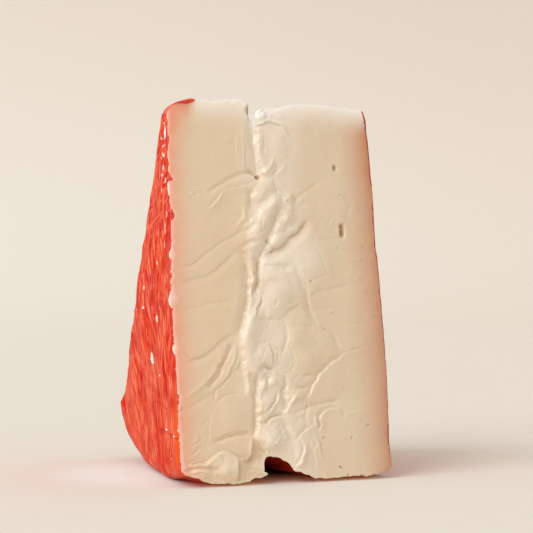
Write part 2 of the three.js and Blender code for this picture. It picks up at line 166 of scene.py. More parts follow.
# Relief of the front cut: (points as (across, up), side towards the upper left, side towards
# the lower right). Each side is (height at the line, reach), so a crease is two falls and a
# broken plate's edge a rise beside a fall.
MAIN_FOLDS = [
    # the split under the break in the tip
    ([(-4, 94.5), (-3.7, 92.5), (-3.8, 90), (-3.9, 88), (-4, 85), (-3.7, 81), (-3.4, 78)],
      (-0.75, 3.2), (-0.5, 2.3)),
    ([(-6.8, 88.5), (-6.6, 84), (-6.7, 80)], (0.1, 1), (-0.3, 1)),
    ([(-8.7, 89.5), (-8.7, 83.5)], (0.15, 0.6), (0.15, 1.4)),
    ([(-2.4, 92), (-2.7, 88), (-3, 83)], (0.3, 0.8), (0.3, 1)),
    ([(-1.7, 90.6), (-1.9, 86)], (0.15, 0.4), (0.15, 0.5)),
    ([(-0.6, 89.8), (-0.8, 85.5)], (0.1, 0.4), (0.1, 0.5)),
    ([(-1.2, 89.5), (-1.4, 83)], (-0.15, 0.5), (-0.1, 0.7)),
    ([(-3.2, 91.9), (-1.6, 92.4), (0.4, 93.2), (1.6, 92.7), (3.4, 92.4), (4.4, 92.3)], (0.45, 1.6),
      (-0.4, 1.2)),
    ([(4.2, 92.3), (5.2, 90.9), (6, 89.4)], (0.2, 1.5), (-0.25, 0.9)),
    ([(-4.2, 90.8), (-3.4, 90.4), (-3, 89.6)], (0.3, 0.6), (0.2, 0.6)),
    ([(-3, 78.6), (-0.6, 80.4), (0.7, 82.2), (1.2, 84)], (0.5, 1.4), (0.3, 0.9)),
    ([(0.2, 78.2), (1.6, 80), (2, 82.2)], (-0.4, 1.2), (-0.4, 1)),
    ([(0.9, 78.4), (3.6, 80.4), (4.6, 82.4)], (0.35, 1.2), (0.15, 1.6)),
    # creases from the pit to the left, and their branches
    ([(-17.6, 74), (-15.8, 75.2), (-13.1, 76.8), (-9.2, 78.7), (-6.8, 79.5), (-5, 79.2),
      (-3.5, 78.2)], (-0.35, 1), (-0.4, 1.5)),
    ([(-7.4, 79.6), (-6, 79.6), (-4.6, 78.9), (-3.4, 78), (-2.2, 77.9)], (-0.9, 1.9), (-0.7, 1.2)),
    ([(-17.3, 70), (-15.8, 71.4), (-14.6, 72.9), (-13.4, 74.4)], (-0.25, 0.9), (0.4, 3.4)),
    ([(-13.4, 74.4), (-10.8, 75.4), (-6.9, 76.1), (-3.6, 77.4)], (-0.2, 0.9), (0.1, 2.2)),
    ([(-17.4, 70), (-15.4, 68.4), (-12.3, 66.1)], (-0.1, 0.5), (-0.1, 0.6)),
    ([(-5.7, 75.8), (-5.6, 73), (-5.6, 71), (-6.4, 69)], (-0.8, 2), (-0.5, 1.6)),
    ([(-8, 71), (-7.6, 68.4), (-8.6, 66.4), (-10.4, 64.8)], (0.45, 1.2), (0.3, 1.6)),
    ([(-21.4, 77.6), (-18.2, 74.3), (-17, 72.2)], (-0.12, 0.5), (-0.12, 0.6)),
    ([(-21.6, 73.7), (-19, 74), (-18, 73.6)], (-0.12, 0.4), (-0.12, 0.5)),
    ([(-13.3, 85.6), (-12, 83.5), (-9.5, 80.2)], (-0.1, 0.4), (-0.08, 0.5)),
    # plates and folds of the crumpled middle
    ([(-5.2, 70.5), (-1.5, 72.4), (1.2, 74.4), (3, 74.8), (4.4, 72.8)], (-0.3, 1), (-0.1, 1)),
    ([(0.6, 78), (1.5, 74.5), (1.2, 71.6)], (-0.2, 1), (-0.3, 0.8)),
    ([(1.4, 71.4), (0.9, 68), (-0.7, 64.2), (-2.2, 60.6), (-4.3, 57), (-5, 54)], (-0.9, 2.6),
      (-1, 1.6)),
    ([(1.3, 71.4), (2.6, 70.1), (3.8, 70.3), (4.5, 72.3)], (-0.3, 0.7), (-0.2, 0.7)),
    ([(13.8, 77.5), (10, 75.1), (6.9, 72.5), (6, 71.4)], (-0.22, 0.9), (-0.18, 1.2)),
    ([(9.6, 67.2), (8.4, 65.9), (6.5, 64), (3.8, 62), (1.9, 60.3), (-0.6, 59.2), (-3, 57.8)],
      (-0.7, 1.8), (-1.5, 3.2)),
    ([(10.2, 62), (12.4, 58), (13.7, 54.4), (14.4, 52.5)], (-0.1, 0.6), (-0.15, 0.7)),
    ([(10.5, 61.9), (14.5, 62.4), (20, 63)], (-0.08, 0.6), (-0.1, 1.2)),
    # creases of the left panel
    ([(-26, 54.7), (-22, 55.4), (-20.8, 56.7), (-16, 60), (-14, 61.4), (-12, 62.3), (-9.4, 63.8),
      (-6, 65.4)], (-0.22, 0.8), (-0.22, 1.1)),
    ([(-26, 50.4), (-22, 51.9), (-17.8, 52.9), (-14.6, 55.2), (-12.3, 57.4), (-10, 59.3)],
      (-0.2, 0.8), (-0.25, 1.8)),
    ([(-10, 59.3), (-8.4, 60.2), (-6.2, 61.6), (-3.8, 62)], (-0.4, 1.2), (-0.35, 1.4)),
    ([(-10, 59.3), (-7.4, 57.8), (-5, 56.3)], (-0.35, 1), (-0.5, 2.2)),
    ([(-17.4, 52.9), (-16.6, 51), (-16.2, 49)], (-0.12, 0.4), (-0.12, 0.5)),
    ([(-26, 44.2), (-22, 44.7), (-18, 45.6), (-12, 46.7)], (-0.14, 0.6), (-0.14, 0.9)),
    ([(-20.8, 44.5), (-20.8, 37)], (-0.06, 0.3), (0.05, 0.5)),
    ([(-20.5, 66), (-20.5, 50)], (-0.04, 0.3), (0.04, 0.5)),
    # the long crack down the middle, with its lips
    ([(-4.7, 57), (-5, 54), (-5.2, 51), (-5.8, 49.2), (-7, 47.2)], (-1, 1.7), (-1, 1.2)),
    ([(-8.6, 56.5), (-7.4, 54), (-7.6, 50.5), (-8.2, 47)], (-0.8, 3), (-0.4, 0.8)),
    ([(-8, 48.4), (-9.1, 43), (-10.2, 39.8), (-11.4, 37.2)], (-1.1, 3), (-1.2, 1.8)),
    ([(-4.2, 48), (-5, 45.6), (-6.2, 43.3), (-7, 41.3)], (0.4, 1.4), (-0.5, 1.4)),
    ([(-6.4, 53.6), (-6.6, 50.6), (-7.3, 47.5), (-8.2, 44), (-9.3, 40.5)], (0.5, 0.8), (0.5, 1.2)),
    ([(-4.4, 55.3), (0, 55.2), (3, 55.2), (5, 55.6)], (-0.45, 1.2), (-0.45, 2.4)),
    ([(5.2, 56), (6.6, 54.2), (7.2, 52.6), (7.4, 51.4)], (-0.3, 0.8), (0.3, 1)),
    ([(-6.9, 65.6), (-3.6, 66), (-0.8, 66.6)], (-0.18, 0.7), (-0.14, 0.8)),
    ([(-8, 62.8), (-5.4, 63.4), (-2.6, 64.6)], (-0.15, 0.6), (-0.15, 0.8)),
    ([(-8.6, 61), (-6.4, 60.6), (-4.2, 61.6)], (-0.2, 0.7), (0.15, 0.9)),
    ([(-4.6, 67.9), (-2.3, 70.2), (0.8, 72.2)], (0.45, 0.8), (0.45, 1.6)),
    ([(-8.9, 63.4), (-6.9, 66), (-4.6, 67.9)], (0.35, 0.8), (0.35, 1.4)),
    ([(2.8, 70.4), (3.4, 68), (2.6, 65.6)], (0.3, 0.9), (0.35, 1.3)),
    ([(3.6, 66.4), (5, 65.6), (6.2, 66.4), (7.2, 68.4)], (-0.35, 1.2), (-0.2, 1)),
    ([(-1.6, 63.4), (-1.2, 60.8), (0.6, 59.4)], (-0.2, 0.8), (0.5, 1.8)),
    ([(5, 55.6), (6.8, 51.6), (8.2, 47.6), (8.9, 43.6), (10.6, 39.6)], (-0.6, 2.2), (-0.25, 0.7)),
    ([(7, 52.4), (7.8, 50.6), (8.3, 48.4)], (-0.2, 0.5), (-0.45, 1)),
    ([(-7, 41.4), (-3, 41.4), (0.6, 41.3), (3.4, 43.6), (5.4, 44.4), (7.4, 43.6), (9.2, 43)],
      (-0.35, 1), (-0.2, 1.6)),
    ([(0.8, 41.2), (1.7, 39.8), (1.7, 36), (0.8, 33.4), (-0.2, 31.8)], (-0.35, 1.4), (-0.35, 0.9)),
    ([(1.8, 39.9), (6, 39.8), (10.6, 39.5)], (-0.12, 0.8), (-0.18, 1.1)),
    ([(11.4, 39.6), (16, 39.9), (26, 40.1)], (-0.1, 0.5), (-0.12, 0.8)),
    ([(11.6, 38.9), (18.5, 39), (21, 39.9)], (-0.1, 0.4), (-0.1, 0.5)),
    ([(10.6, 39.4), (14, 37.8), (15.5, 35.8), (16.6, 33)], (-0.45, 1.2), (-0.3, 1)),
    ([(-9.3, 31.4), (-5.4, 34.8), (-1.5, 36.6)], (-0.12, 0.8), (-0.16, 1.2)),
    ([(-3.2, 35.4), (-2.4, 32), (-2.8, 29.4)], (0.3, 1.6), (-0.5, 1)),
    ([(-6.2, 28), (-4.6, 29.4), (-3.2, 28.4), (-1.6, 29)], (-0.9, 1.5), (-0.6, 1.2)),
    ([(-1.2, 33.4), (-1.6, 30.6)], (0.3, 1), (-0.3, 0.9)),
    ([(2.6, 34), (3.2, 30.6), (2.4, 28.6), (0.4, 27.4)], (-0.15, 0.9), (-0.3, 1)),
    ([(1.9, 35), (3.4, 35.3)], (-0.15, 0.5), (-0.15, 0.5)),
    ([(10.8, 36), (9.7, 34.3)], (-0.15, 0.4), (-0.15, 0.4)),
    ([(11, 39), (9.9, 37.2), (9.6, 35)], (-0.08, 0.5), (-0.08, 0.6)),
    # lower left: the fanned folds beside the crack
    ([(-25, 30.8), (-21.5, 31.8), (-18.4, 33.4), (-16.2, 35.6), (-13.4, 37.2), (-11.4, 37.6)],
      (-0.4, 1), (-0.35, 1.8)),
    ([(-12.2, 36), (-14.4, 32.4), (-15.8, 29.6), (-17.5, 26.6), (-20.4, 24)], (-0.7, 2), (-0.4, 1)),
    ([(-14.2, 35), (-16.8, 30.4), (-19.4, 27), (-22.3, 24.6), (-26, 22.2)], (0.3, 1.2), (0.3, 1.2)),
    ([(-11.8, 35), (-12.6, 32), (-14.2, 28.4), (-16.4, 25.4)], (0.3, 0.6), (0.3, 0.6)),
    ([(-11.2, 33), (-12, 30), (-13.6, 27.6)], (0.22, 0.5), (0.22, 0.5)),
    ([(-11.2, 29.4), (-13.5, 27.6), (-16.2, 25), (-18, 23.2), (-18.4, 20.6)], (-0.35, 0.9),
      (0.1, 1.6)),
    ([(-18, 23.4), (-22.3, 21), (-26, 19.4)], (-0.22, 0.8), (-0.15, 1.2)),
    ([(-18.2, 19.6), (-16.9, 21.4), (-14.6, 22.5), (-10.8, 22.6)], (-0.3, 0.8), (0.1, 3)),
    ([(-10.8, 22.6), (-9.2, 21), (-8.4, 17), (-8.8, 13.7)], (-0.35, 2.6), (-0.3, 0.8)),
    ([(-19.7, 10.5), (-14.6, 12.1), (-10.8, 12.5), (-8.8, 12)], (-0.7, 1.6), (-0.5, 0.8)),
    ([(-18.2, 19.6), (-20, 15.8), (-20.1, 10.6)], (-0.25, 0.6), (0.15, 1.2)),
    ([(-22.6, 14.2), (-20.2, 17.2)], (-0.2, 0.5), (-0.1, 0.6)),
    ([(-20, 10.8), (-17.2, 9.2), (-14.6, 8.6)], (-0.2, 0.8), (0.2, 1.2)),
    ([(-23.2, 13.5), (-24.2, 10.3)], (0.15, 0.5), (0.15, 0.5)),
    ([(-20.8, 13.2), (-23, 11), (-25.5, 10)], (-0.15, 0.6), (0.2, 1)),
    # the crack's lower run down to the notch
    ([(-6.6, 28), (-7, 25), (-7.7, 21.6), (-7.7, 16.4), (-8.1, 13.4), (-8.8, 12)], (-1, 1.5),
      (-1, 1.2)),
    ([(-10.4, 31), (-9.7, 28), (-9.4, 24.4), (-9.8, 21.6)], (0.6, 1.2), (0.6, 1.4)),
    ([(-8.8, 12), (-7.9, 10.8), (-6.8, 9.4), (-5.6, 7.4)], (-0.3, 1.2), (0.2, 0.8)),
    ([(-8.8, 12), (-8.9, 9.4), (-9.6, 7.2), (-11, 5.2)], (0.5, 1.6), (-0.9, 2.8)),
    # lumps in the middle of the lower half
    ([(-7, 24), (-6.6, 20.5), (-6.9, 16.2)], (-0.5, 0.5), (0.6, 2.6)),
    ([(-5, 17.4), (-3.2, 19.3), (-1.8, 21.4), (-1, 23.4)], (-0.6, 1.2), (0.5, 1.6)),
    ([(1, 27.4), (0.9, 24.4), (0.1, 22.6), (0.6, 20), (0.2, 18.4)], (-0.8, 1.6), (-0.7, 1.1)),
    ([(-7.2, 15.2), (-5, 15.2), (-3.4, 16.4), (-0.6, 16.9), (0.4, 16.8)], (-0.9, 1.2), (0.2, 1.4)),
    ([(-0.6, 17.2), (1, 19), (2, 21), (3.2, 22.4)], (-0.3, 0.8), (0.7, 1.6)),
    ([(-6.4, 27.6), (-3, 28.4), (0, 27.6)], (-0.3, 0.9), (0.3, 1.2)),
    ([(-4.4, 27.6), (-4.2, 25), (-5.4, 22.4)], (-0.4, 0.8), (-0.4, 0.8)),
    ([(5.5, 26.8), (9, 26.9)], (-0.35, 1.2), (-0.3, 0.8)),
    ([(3.8, 23.6), (6, 23.8), (7.2, 25)], (-0.4, 1), (-0.3, 1)),
    ([(17.6, 32.6), (13, 29.4), (10, 26.8), (7.7, 23.3), (6.5, 20.6)], (-0.5, 1.8), (0.25, 3.6)),
    ([(14.2, 33.8), (16.6, 32.8), (19.2, 32.8), (23.8, 34.1)], (-0.3, 0.6), (0.1, 1.4)),
    ([(1.6, 17.2), (4.4, 18.2), (6.9, 19.1), (10, 19.8), (15.4, 20.6)], (-0.3, 1.4), (-0.5, 1.4)),
    ([(6.6, 20.6), (6.3, 18.2), (5.6, 16.2), (5.8, 14.4)], (-0.4, 1), (-0.4, 0.9)),
    ([(9.3, 12), (9.5, 15), (10, 17.2), (12, 18.2), (15.4, 18.8)], (-0.45, 1.2), (0.35, 2.4)),
    ([(8.6, 16.8), (8.5, 13.5)], (0.4, 0.9), (0.4, 0.8)),
    ([(15.4, 18.8), (15.6, 16.4)], (0.2, 1.6), (-0.2, 0.8)),
    ([(16.4, 14.5), (17, 17), (22, 17.7)], (-0.15, 0.7), (0.2, 1.8)),
    ([(3.1, 10.8), (5.4, 13.2), (7.7, 14.2)], (-0.6, 1.4), (0.3, 1.2)),
    ([(-0.4, 16.4), (0.8, 12.6), (3.6, 10.4)], (-0.7, 3.2), (-0.4, 1.2)),
    ([(3.2, 16), (5.4, 16.4)], (-0.3, 0.8), (-0.1, 0.8)),
    ([(7.9, 12.5), (9.2, 9), (9.9, 6)], (0.25, 1.6), (-0.3, 1.2)),
    ([(1.8, 3.8), (3.6, 6), (4.6, 8.6), (4.4, 10.4)], (-0.4, 1.1), (0.7, 2)),
    ([(6.4, 10.6), (7.5, 7), (7.6, 3)], (-0.2, 1.2), (0.2, 1.4)),
    ([(11.3, 26.3), (13, 26.9)], (-0.08, 0.4), (-0.08, 0.5)),
    ([(16.5, 28.2), (19, 29)], (-0.08, 0.4), (-0.08, 0.5)),
    # the torn left foot
    ([(-26.4, 5.3), (-24.2, 5.7), (-21.6, 6), (-20.2, 6.9), (-18.6, 8), (-17.3, 8.7), (-15.5, 8.3),
      (-13.4, 7.5), (-12.5, 6.8), (-10.6, 6.9)], (-0.35, 0.9), (1.1, 3)),
    ([(-27.4, 3.9), (-24.6, 4.8), (-21.5, 4.9), (-19.2, 4.5), (-17.6, 4)], (-0.6, 1), (-0.7, 1)),
    ([(-13.3, 6.8), (-13.5, 4), (-13.2, 1)], (0.8, 2.6), (-0.9, 1.4)),
    ([(-11.8, 4.2), (-10.2, 3.9), (-8, 3.6), (-6, 3.3), (-5, 2.9)], (-0.5, 1), (0.6, 1.4)),
    ([(-19.8, 10.2), (-18.2, 9.3), (-17.3, 8.8)], (-0.2, 0.8), (-0.2, 0.8)),
    ([(-25.2, 8), (-24.2, 8.5), (-23, 9.6)], (-0.25, 0.7), (0.25, 1.2)),
    ([(-26.4, 5.2), (-25.2, 6.2), (-23.8, 6.7)], (-0.25, 0.6), (0.3, 1)),
    ([(-26, 3.4), (-23.4, 3.9), (-21.4, 3.4)], (0.3, 0.8), (-0.3, 0.9)),
    ([(-20.6, 4.8), (-19.8, 3.6), (-20.2, 2)], (-0.25, 0.8), (0.3, 1)),
    ([(-23.6, 3.6), (-22.8, 2.4)], (-0.2, 0.6), (0.2, 0.8)),
    ([(-10.8, 3.8), (-11.2, 2.6), (-11, 1.6)], (-0.25, 0.7), (0.2, 0.9)),
    ([(-7.8, 3.2), (-7.6, 2.2)], (0.15, 0.4), (-0.15, 0.4)),
    ([(-16.8, 7.6), (-17.4, 5.8), (-17, 4.4)], (-0.2, 0.9), (0.15, 1.2)),
    # right panel
    ([(8.9, 46), (10.4, 47.9), (12.5, 48.6), (16, 49.2), (20.8, 50.2)], (-0.25, 0.8), (-0.1, 1.4)),
    ([(9.6, 51.4), (12.5, 52.3), (14.6, 52.8)], (-0.25, 0.7), (-0.1, 0.9)),
    ([(9.3, 43.8), (13, 43.8), (15.4, 44.5)], (-0.15, 0.6), (-0.12, 0.8)),
    ([(1.5, 45.3), (5, 45.8), (8, 46)], (-0.1, 0.5), (-0.1, 0.8)),
    ([(22.3, 72.5), (21.3, 70), (20.2, 67), (19.8, 66)], (-0.12, 0.5), (-0.12, 0.7)),
    ([(13.3, 94), (14, 90.5), (15.2, 87), (16.2, 84.5), (17.3, 82.5), (18.1, 81.5)], (-0.1, 0.5),
      (0.1, 0.8)),
    ([(20, 4), (22.5, 7.8), (24, 9.6)], (-0.08, 0.3), (-0.06, 0.3)),
    ([(18.4, 4), (19.5, 6.8), (20.2, 9)], (-0.05, 0.3), (-0.05, 0.3)),
]
# Rounded ridges: (points, height, (reach towards the upper left, towards the lower right))
LOBES = [
    ([(0.6, 71.8), (-1.6, 69.2), (-3.8, 66), (-5.2, 63)], 1.2, (3, 3.2)),
    ([(4.6, 72.6), (4.2, 70), (3.8, 67.6)], 0.6, (2, 2.4)),
    ([(-6.6, 57.6), (-6.3, 54), (-6.7, 51)], 0.5, (1.8, 1.2)),
    ([(-7.4, 42), (-8.8, 38), (-9, 33), (-8.2, 29)], 1.1, (2.6, 4.5)),
    ([(-1.2, 53.5), (0.5, 50), (-1.5, 46)], 1, (4.5, 6.5)),
    ([(-3, 88), (-2.4, 84), (-1, 80)], 0.4, (1.5, 3.4)),
    ([(-1.2, 76.6), (-3.2, 73.6)], 0.6, (2.6, 3)),
]
# Swells and hollows: (across, up), (half size across, up), height
SWELLS = [
    ((0.8, 62.2), (3.2, 3.2), 1), ((1.8, 65.8), (2.4, 2.4), 0.5), ((-6, 60.2), (3.4, 3), 0.4),
    ((4, 36.5), (5.5, 6), 0.6), ((11.5, 36), (5, 5), 0.3), ((7, 31), (6, 5.5), 0.7),
    ((-4.8, 32), (4.4, 4.8), 1), ((-5.4, 25), (2.2, 2.8), 0.8), ((-2.4, 25.6), (2.4, 2.4), 0.6),
    ((-4.6, 20), (3.4, 3.6), 0.9), ((3.4, 21.8), (3.2, 2.4), 0.8), ((1.6, 17), (3.4, 3.2), 0.4),
    ((-4.2, 11.2), (6, 5), 1.7), ((3.6, 6.5), (2.4, 4.6), 0.6), ((-16.5, 4.6), (6, 5), 1.7),
    ((-22.5, 3.5), (4, 3), 0.8), ((-14.5, 17), (6.5, 6.5), 0.6), ((-9.4, 6), (3, 3.5), -0.9),
    ((-6.8, 7.4), (3, 4.8), -1.3), ((-2.8, 96.4), (0.8, 0.7), 0.4), ((-1.2, 97), (0.7, 0.6), 0.3),
    ((-2.2, 94), (0.8, 0.7), 0.35), ((-3.6, 95), (0.6, 0.7), 0.4), ((-0.2, 94.6), (0.8, 0.6), 0.4),
    ((-4.2, 95.6), (2.4, 2.6), -1.6), ((2.5, 86.5), (4.5, 7), 0.5), ((3, 95.2), (4, 2.4), 0.3),
    ((-1.4, 94.8), (1.9, 1.7), 0.7), ((8, 55), (9, 8), 0.4), ((6.5, 72), (2.2, 3.4), -0.5),
    ((18, 14), (10, 9), 0.4), ((13, 25), (7, 6), 0.4),
]
# Small pits, and crumbs where the depth is negative: (across, up), (half size across, up), depth
PITS = [
    ((-3.4, 78.1), (0.75, 0.55), 1.3), ((18.3, 81.2), (0.5, 0.75), 1.3),
    ((19.2, 64.3), (0.7, 1.75), 2), ((18.8, 65.6), (0.5, 0.8), 0.6), ((4.5, 72.3), (0.3, 0.4), 0.5),
    ((-2, 61.3), (0.4, 0.3), 0.5), ((17.5, 59.8), (0.2, 0.25), 0.3), ((18.6, 57.5), (0.25, 0.2), 0.3),
    ((9.4, 51.2), (0.4, 0.3), 0.5), ((18.5, 45), (0.2, 0.2), 0.2), ((15, 42.6), (0.25, 0.2), 0.25),
    ((25, 60), (0.25, 0.25), 0.25), ((10.4, 10.8), (0.3, 0.4), 0.4), ((18, 10.7), (0.4, 0.3), 0.4),
    ((20.9, 15), (0.2, 0.25), 0.25), ((22.9, 13.8), (0.4, 0.3), 0.35), ((16.4, 1.6), (0.4, 0.3), 0.4),
    ((19.4, 73.7), (0.3, 0.25), 0.3), ((23.5, 56.8), (0.3, 0.3), -0.25),
    ((23.3, 70.5), (0.3, 0.25), -0.2), ((23, 52), (0.3, 0.3), -0.2), ((20, 73.6), (0.25, 0.25), -0.2),
    ((24.3, 49), (0.3, 0.35), -0.2), ((25.3, 50.8), (0.25, 0.25), -0.2),
    ((15.7, 23.6), (0.3, 0.3), -0.2), ((-21.5, 73.7), (0.5, 0.35), -0.35),
    ((-17.2, 0.9), (0.4, 0.4), -0.3),
]
# The hidden back cut has broad forms of its own
BACK_FOLDS = [
    ([(4, 90), (2, 72), (6, 58), (3, 40), (7, 24)], (-1.2, 2.4), (-1.2, 2.4)),
    ([(-24, 62), (-12, 66), (2, 71)], (-0.6, 1.8), (-0.6, 1.8)),
    ([(-22, 34), (-8, 30), (4, 38)], (-0.6, 1.8), (-0.6, 1.8)),
    ([(5, 56), (14, 49), (24, 52)], (-0.6, 1.8), (-0.6, 1.8)),
]
BACK_SWELLS = [
    ((-6, 50), (10, 13), 1.4),
    ((13, 34), (9, 12), 1.2),
    ((-12, 20), (10, 8), 1.2),
]
LEFT_RIND_LUMPS = [
    ((53, 38), (5, 4), 1.3),
    ((42, 62), (5, 4), 0.8),
    ((60, 16), (6, 5), 0.7),
]
RIGHT_RIND_LUMPS = [
    ((48, 30), (7, 8), 0.8),
    ((34, 60), (6, 8), 0.7),
]

# How far the red rind lies over the front cut along the left and the right edge: (up, over).
# Below nothing, the cream paste shows round the corner instead.
LEFT_OVERLAP = [
    (2, 0.9), (3.2, 0.9), (4.6, 0.5), (6.5, 0.25), (8, 0.2), (10, 0.15), (11.2, 0.3), (11.8, -0.1),
    (12.4, 0.35), (13.2, 0.3), (13.8, 0), (16.5, 0.1), (18.5, 0.15), (20.5, 0.35), (22, 0.55),
    (23.5, 0.35), (25, 0.1), (30, 0.15), (32.4, 0.2), (33.2, -0.4), (34.2, -1.4), (35, -0.8),
    (35.6, 0.1), (37, 0), (40, 0.1), (43.2, 0.15), (44.4, 0.35), (44.9, -0.6), (45.3, -2),
    (46.4, -2.8), (47.4, -1.6), (48.4, -0.7), (48.9, 0.3), (50.4, 0.35), (51.4, 0.1), (52.3, 0.5),
    (53.2, 0.8), (53.7, 0.3), (55.2, 0.35), (56.6, 0.45), (57.1, 0.1), (57.5, -1.2), (58.4, -1.8),
    (59, -0.6), (59.5, 0.1), (62, 0.2), (66.6, 0.25), (67.3, 0.9), (68.4, 1.15), (69.4, 0.9),
    (69.9, 0.15), (71, 0.1), (73.2, 0), (73.8, -0.8), (74.6, -1.9), (76.2, -1.6), (76.8, 0.2),
    (77.1, 1), (77.8, 0.8), (78.6, 0.3), (79.4, -0.3), (80.2, -0.6), (80.9, 0), (82.3, 0.1),
    (83.4, -0.4), (84.6, -0.5), (85.4, 0.1), (87, 0.3), (87.6, 0.7), (88.5, 0.5), (89, 0), (97, 0),
]
RIGHT_OVERLAP = [
    (2, -0.2), (6, 0.1), (9, 0.5), (12, 0.5), (15, 0.25), (30, 0.2), (48, 0.35), (60, 0.35),
    (72, 0.4), (73, -0.3), (75.6, -0.4), (76.6, 0.4), (86, 0.45), (90, 0.5), (94, 0.75), (96, 1.1),
    (98, 1.1),
]
# Stray specks of dye on the front cut: (across, up), (half size across, up)
DYE_SPECKS = [
    ((27.8, 11.5), (0.3, 0.2)), ((-27.3, 19.2), (0.2, 0.35)), ((-27.2, 17), (0.2, 0.55)),
    ((14.2, 3.7), (0.4, 0.25)), ((14.6, 3.3), (0.35, 0.2)), ((17.6, 0.9), (0.25, 0.2)),
]
# Bare marks of the left rind: (depth behind the front cut, up), (half size in depth, up)
BARE_MARKS = [
    ((3.6, 92.3), (0.7, 0.35)), ((3.4, 89.6), (0.9, 2.1)), ((6.4, 88.4), (1, 0.25)),
    ((5, 86.3), (1.3, 0.3)), ((4.6, 84.1), (0.8, 0.5)), ((6.6, 83.2), (1.2, 0.22)),
    ((4.8, 80.4), (0.4, 0.9)), ((6.4, 78.8), (1.2, 0.22)), ((3.4, 77.2), (0.35, 0.8)),
    ((7, 75), (0.3, 0.9)), ((5.2, 51.5), (0.3, 1.3)), ((28, 49.4), (0.7, 0.7)),
    ((13.2, 56), (0.8, 0.45)), ((29, 44), (1.3, 0.35)), ((16.2, 41.2), (1.5, 0.8)),
    ((22.9, 30.7), (1.4, 1.6)), ((21.6, 29.6), (1, 0.4)), ((14.2, 26.7), (0.6, 0.4)),
    ((11.2, 13.4), (0.8, 0.25)), ((4, 12.3), (0.9, 0.22)), ((2.6, 68.6), (0.4, 0.9)),
    ((4.6, 65), (0.4, 1.4)), ((6, 61), (0.35, 1.1)),
]
RIND_CRACKS = [
    [(21.4, 13.4), (15, 12.9), (10.6, 12.4), (5, 12.2), (-0.8, 11.8)],
    [(27, 19.2), (21, 19.8), (16, 18.9), (9.7, 18.2)],
    [(25.4, 43.6), (21.5, 44.8), (18.4, 45.8), (14.5, 46.7)],
    [(24.2, 39.9), (22.8, 41.3), (21.2, 41.2), (20.5, 40), (21.8, 39.2), (24.2, 39.9)],
    [(30, 24), (24, 23), (19, 20.5)],
]


# Shape helpers

def mix(low, high, share):
    return low + (high - low) * share


def smooth(value):
    t = np.clip(value, 0, 1)
    return t * t * (3 - 2 * t)


def height_along(outline, place):
    places, heights = zip(*outline)
    return np.interp(place, places, heights)


def ripple(u, v, phase):
    """Slow unevenness of a broken face, from a few crossing waves."""
    return (
        0.5 * np.sin(u / 4.3 + v / 9.1 + phase)
        + 0.3 * np.sin(u / 2.9 - v / 5.7 + 2 * phase)
        + 0.2 * np.sin(v / 3.1 + u / 7.9 + 3 * phase)
    )


def value_noise(u, v, seed):
    """Smooth noise between -1 and 1 on a unit grid."""
    cell_u = np.floor(u)
    cell_v = np.floor(v)
    tu = smooth(u - cell_u)
    tv = smooth(v - cell_v)

    def corner(i, j):
        wave = np.sin((cell_u + i) * 127.1 + (cell_v + j) * 311.7 + seed * 74.7) * 43758.5453
        return 2 * (wave - np.floor(wave)) - 1

    return mix(mix(corner(0, 0), corner(1, 0), tu), mix(corner(0, 1), corner(1, 1), tu), tv)


def unevenness(u, v, layers):
    """Sum of noise layers, each (height, size along u, size along v, seed)."""
    total = 0
    for height, size_u, size_v, seed in layers:
        total = total + height * value_noise(u / size_u, v / size_v, seed)
    return total


def rounded_path(points, step=0.4):
    """Points about a step apart on a smooth curve through the given ones."""
    given = np.array(points, float)
    padded = np.vstack([2 * given[0] - given[1], given, 2 * given[-1] - given[-2]])
    pieces = []
    for a, b, c, d in zip(padded, padded[1:], padded[2:], padded[3:]):
        count = max(2, int(np.linalg.norm(c - b) / step) + 1)
        t = np.linspace(0, 1, count, endpoint=False)[:, None]
        slope = (c - a) * t
        bend = (2 * a - 5 * b + 4 * c - d) * t**2
        twist = (3 * b - a - 3 * c + d) * t**3
        pieces.append(0.5 * (2 * b + slope + bend + twist))
    return np.vstack([*pieces, given[-1:]])


def nearest_on_path(u, v, points, reach):
    """Which places lie near the path, how far off, on which side, and how far from its ends."""
    path = rounded_path(points)
    low = path.min(axis=0) - reach
    high = path.max(axis=0) + reach
    near = np.flatnonzero((u > low[0]) & (u < high[0]) & (v > low[1]) & (v < high[1]))
    pu, pv = u[near], v[near]
    best = np.full(near.size, np.inf)
    side = np.zeros(near.size)
    passed = np.zeros(near.size)
    lengths = np.linalg.norm(np.diff(path, axis=0), axis=1)
    starts = np.concatenate([[0], np.cumsum(lengths)])
    facing = 1 if (path[-1] - path[0]).sum() >= 0 else -1
    for start, end, length, before in zip(path, path[1:], lengths, starts):
        du, dv = (end - start) / length
        ru, rv = pu - start[0], pv - start[1]
        t = np.clip(ru * du + rv * dv, 0, length)
        distance = np.hypot(ru - t * du, rv - t * dv)
        closer = distance < best
        best = np.where(closer, distance, best)
        side = np.where(closer, facing * (du * rv - dv * ru), side)
        passed = np.where(closer, before + t, passed)
    return near, best, side, np.minimum(passed, starts[-1] - passed), starts[-1]


def fold_height(u, v, points, upper_left, lower_right):
    """Height that one fold adds at (u, v), which are flat arrays."""
    height = np.zeros_like(u)
    reach = max(upper_left[1], lower_right[1])
    near, distance, side, from_end, total = nearest_on_path(u, v, points, reach)
    fade = smooth(from_end / min(2.5, total / 3) * 0.8 + 0.2)
    towards = 0.5 + 0.5 * np.tanh(side / LINE_SOFTNESS)
    near_upper = np.clip(1 - distance / upper_left[1], 0, 1)
    near_lower = np.clip(1 - distance / lower_right[1], 0, 1)
    rise_upper = upper_left[0] * near_upper**FOLD_CURVE * smooth(2.5 * near_upper)
    rise_lower = lower_right[0] * near_lower**FOLD_CURVE * smooth(2.5 * near_lower)
    height[near] = fade * mix(rise_lower, rise_upper, towards)
    return height


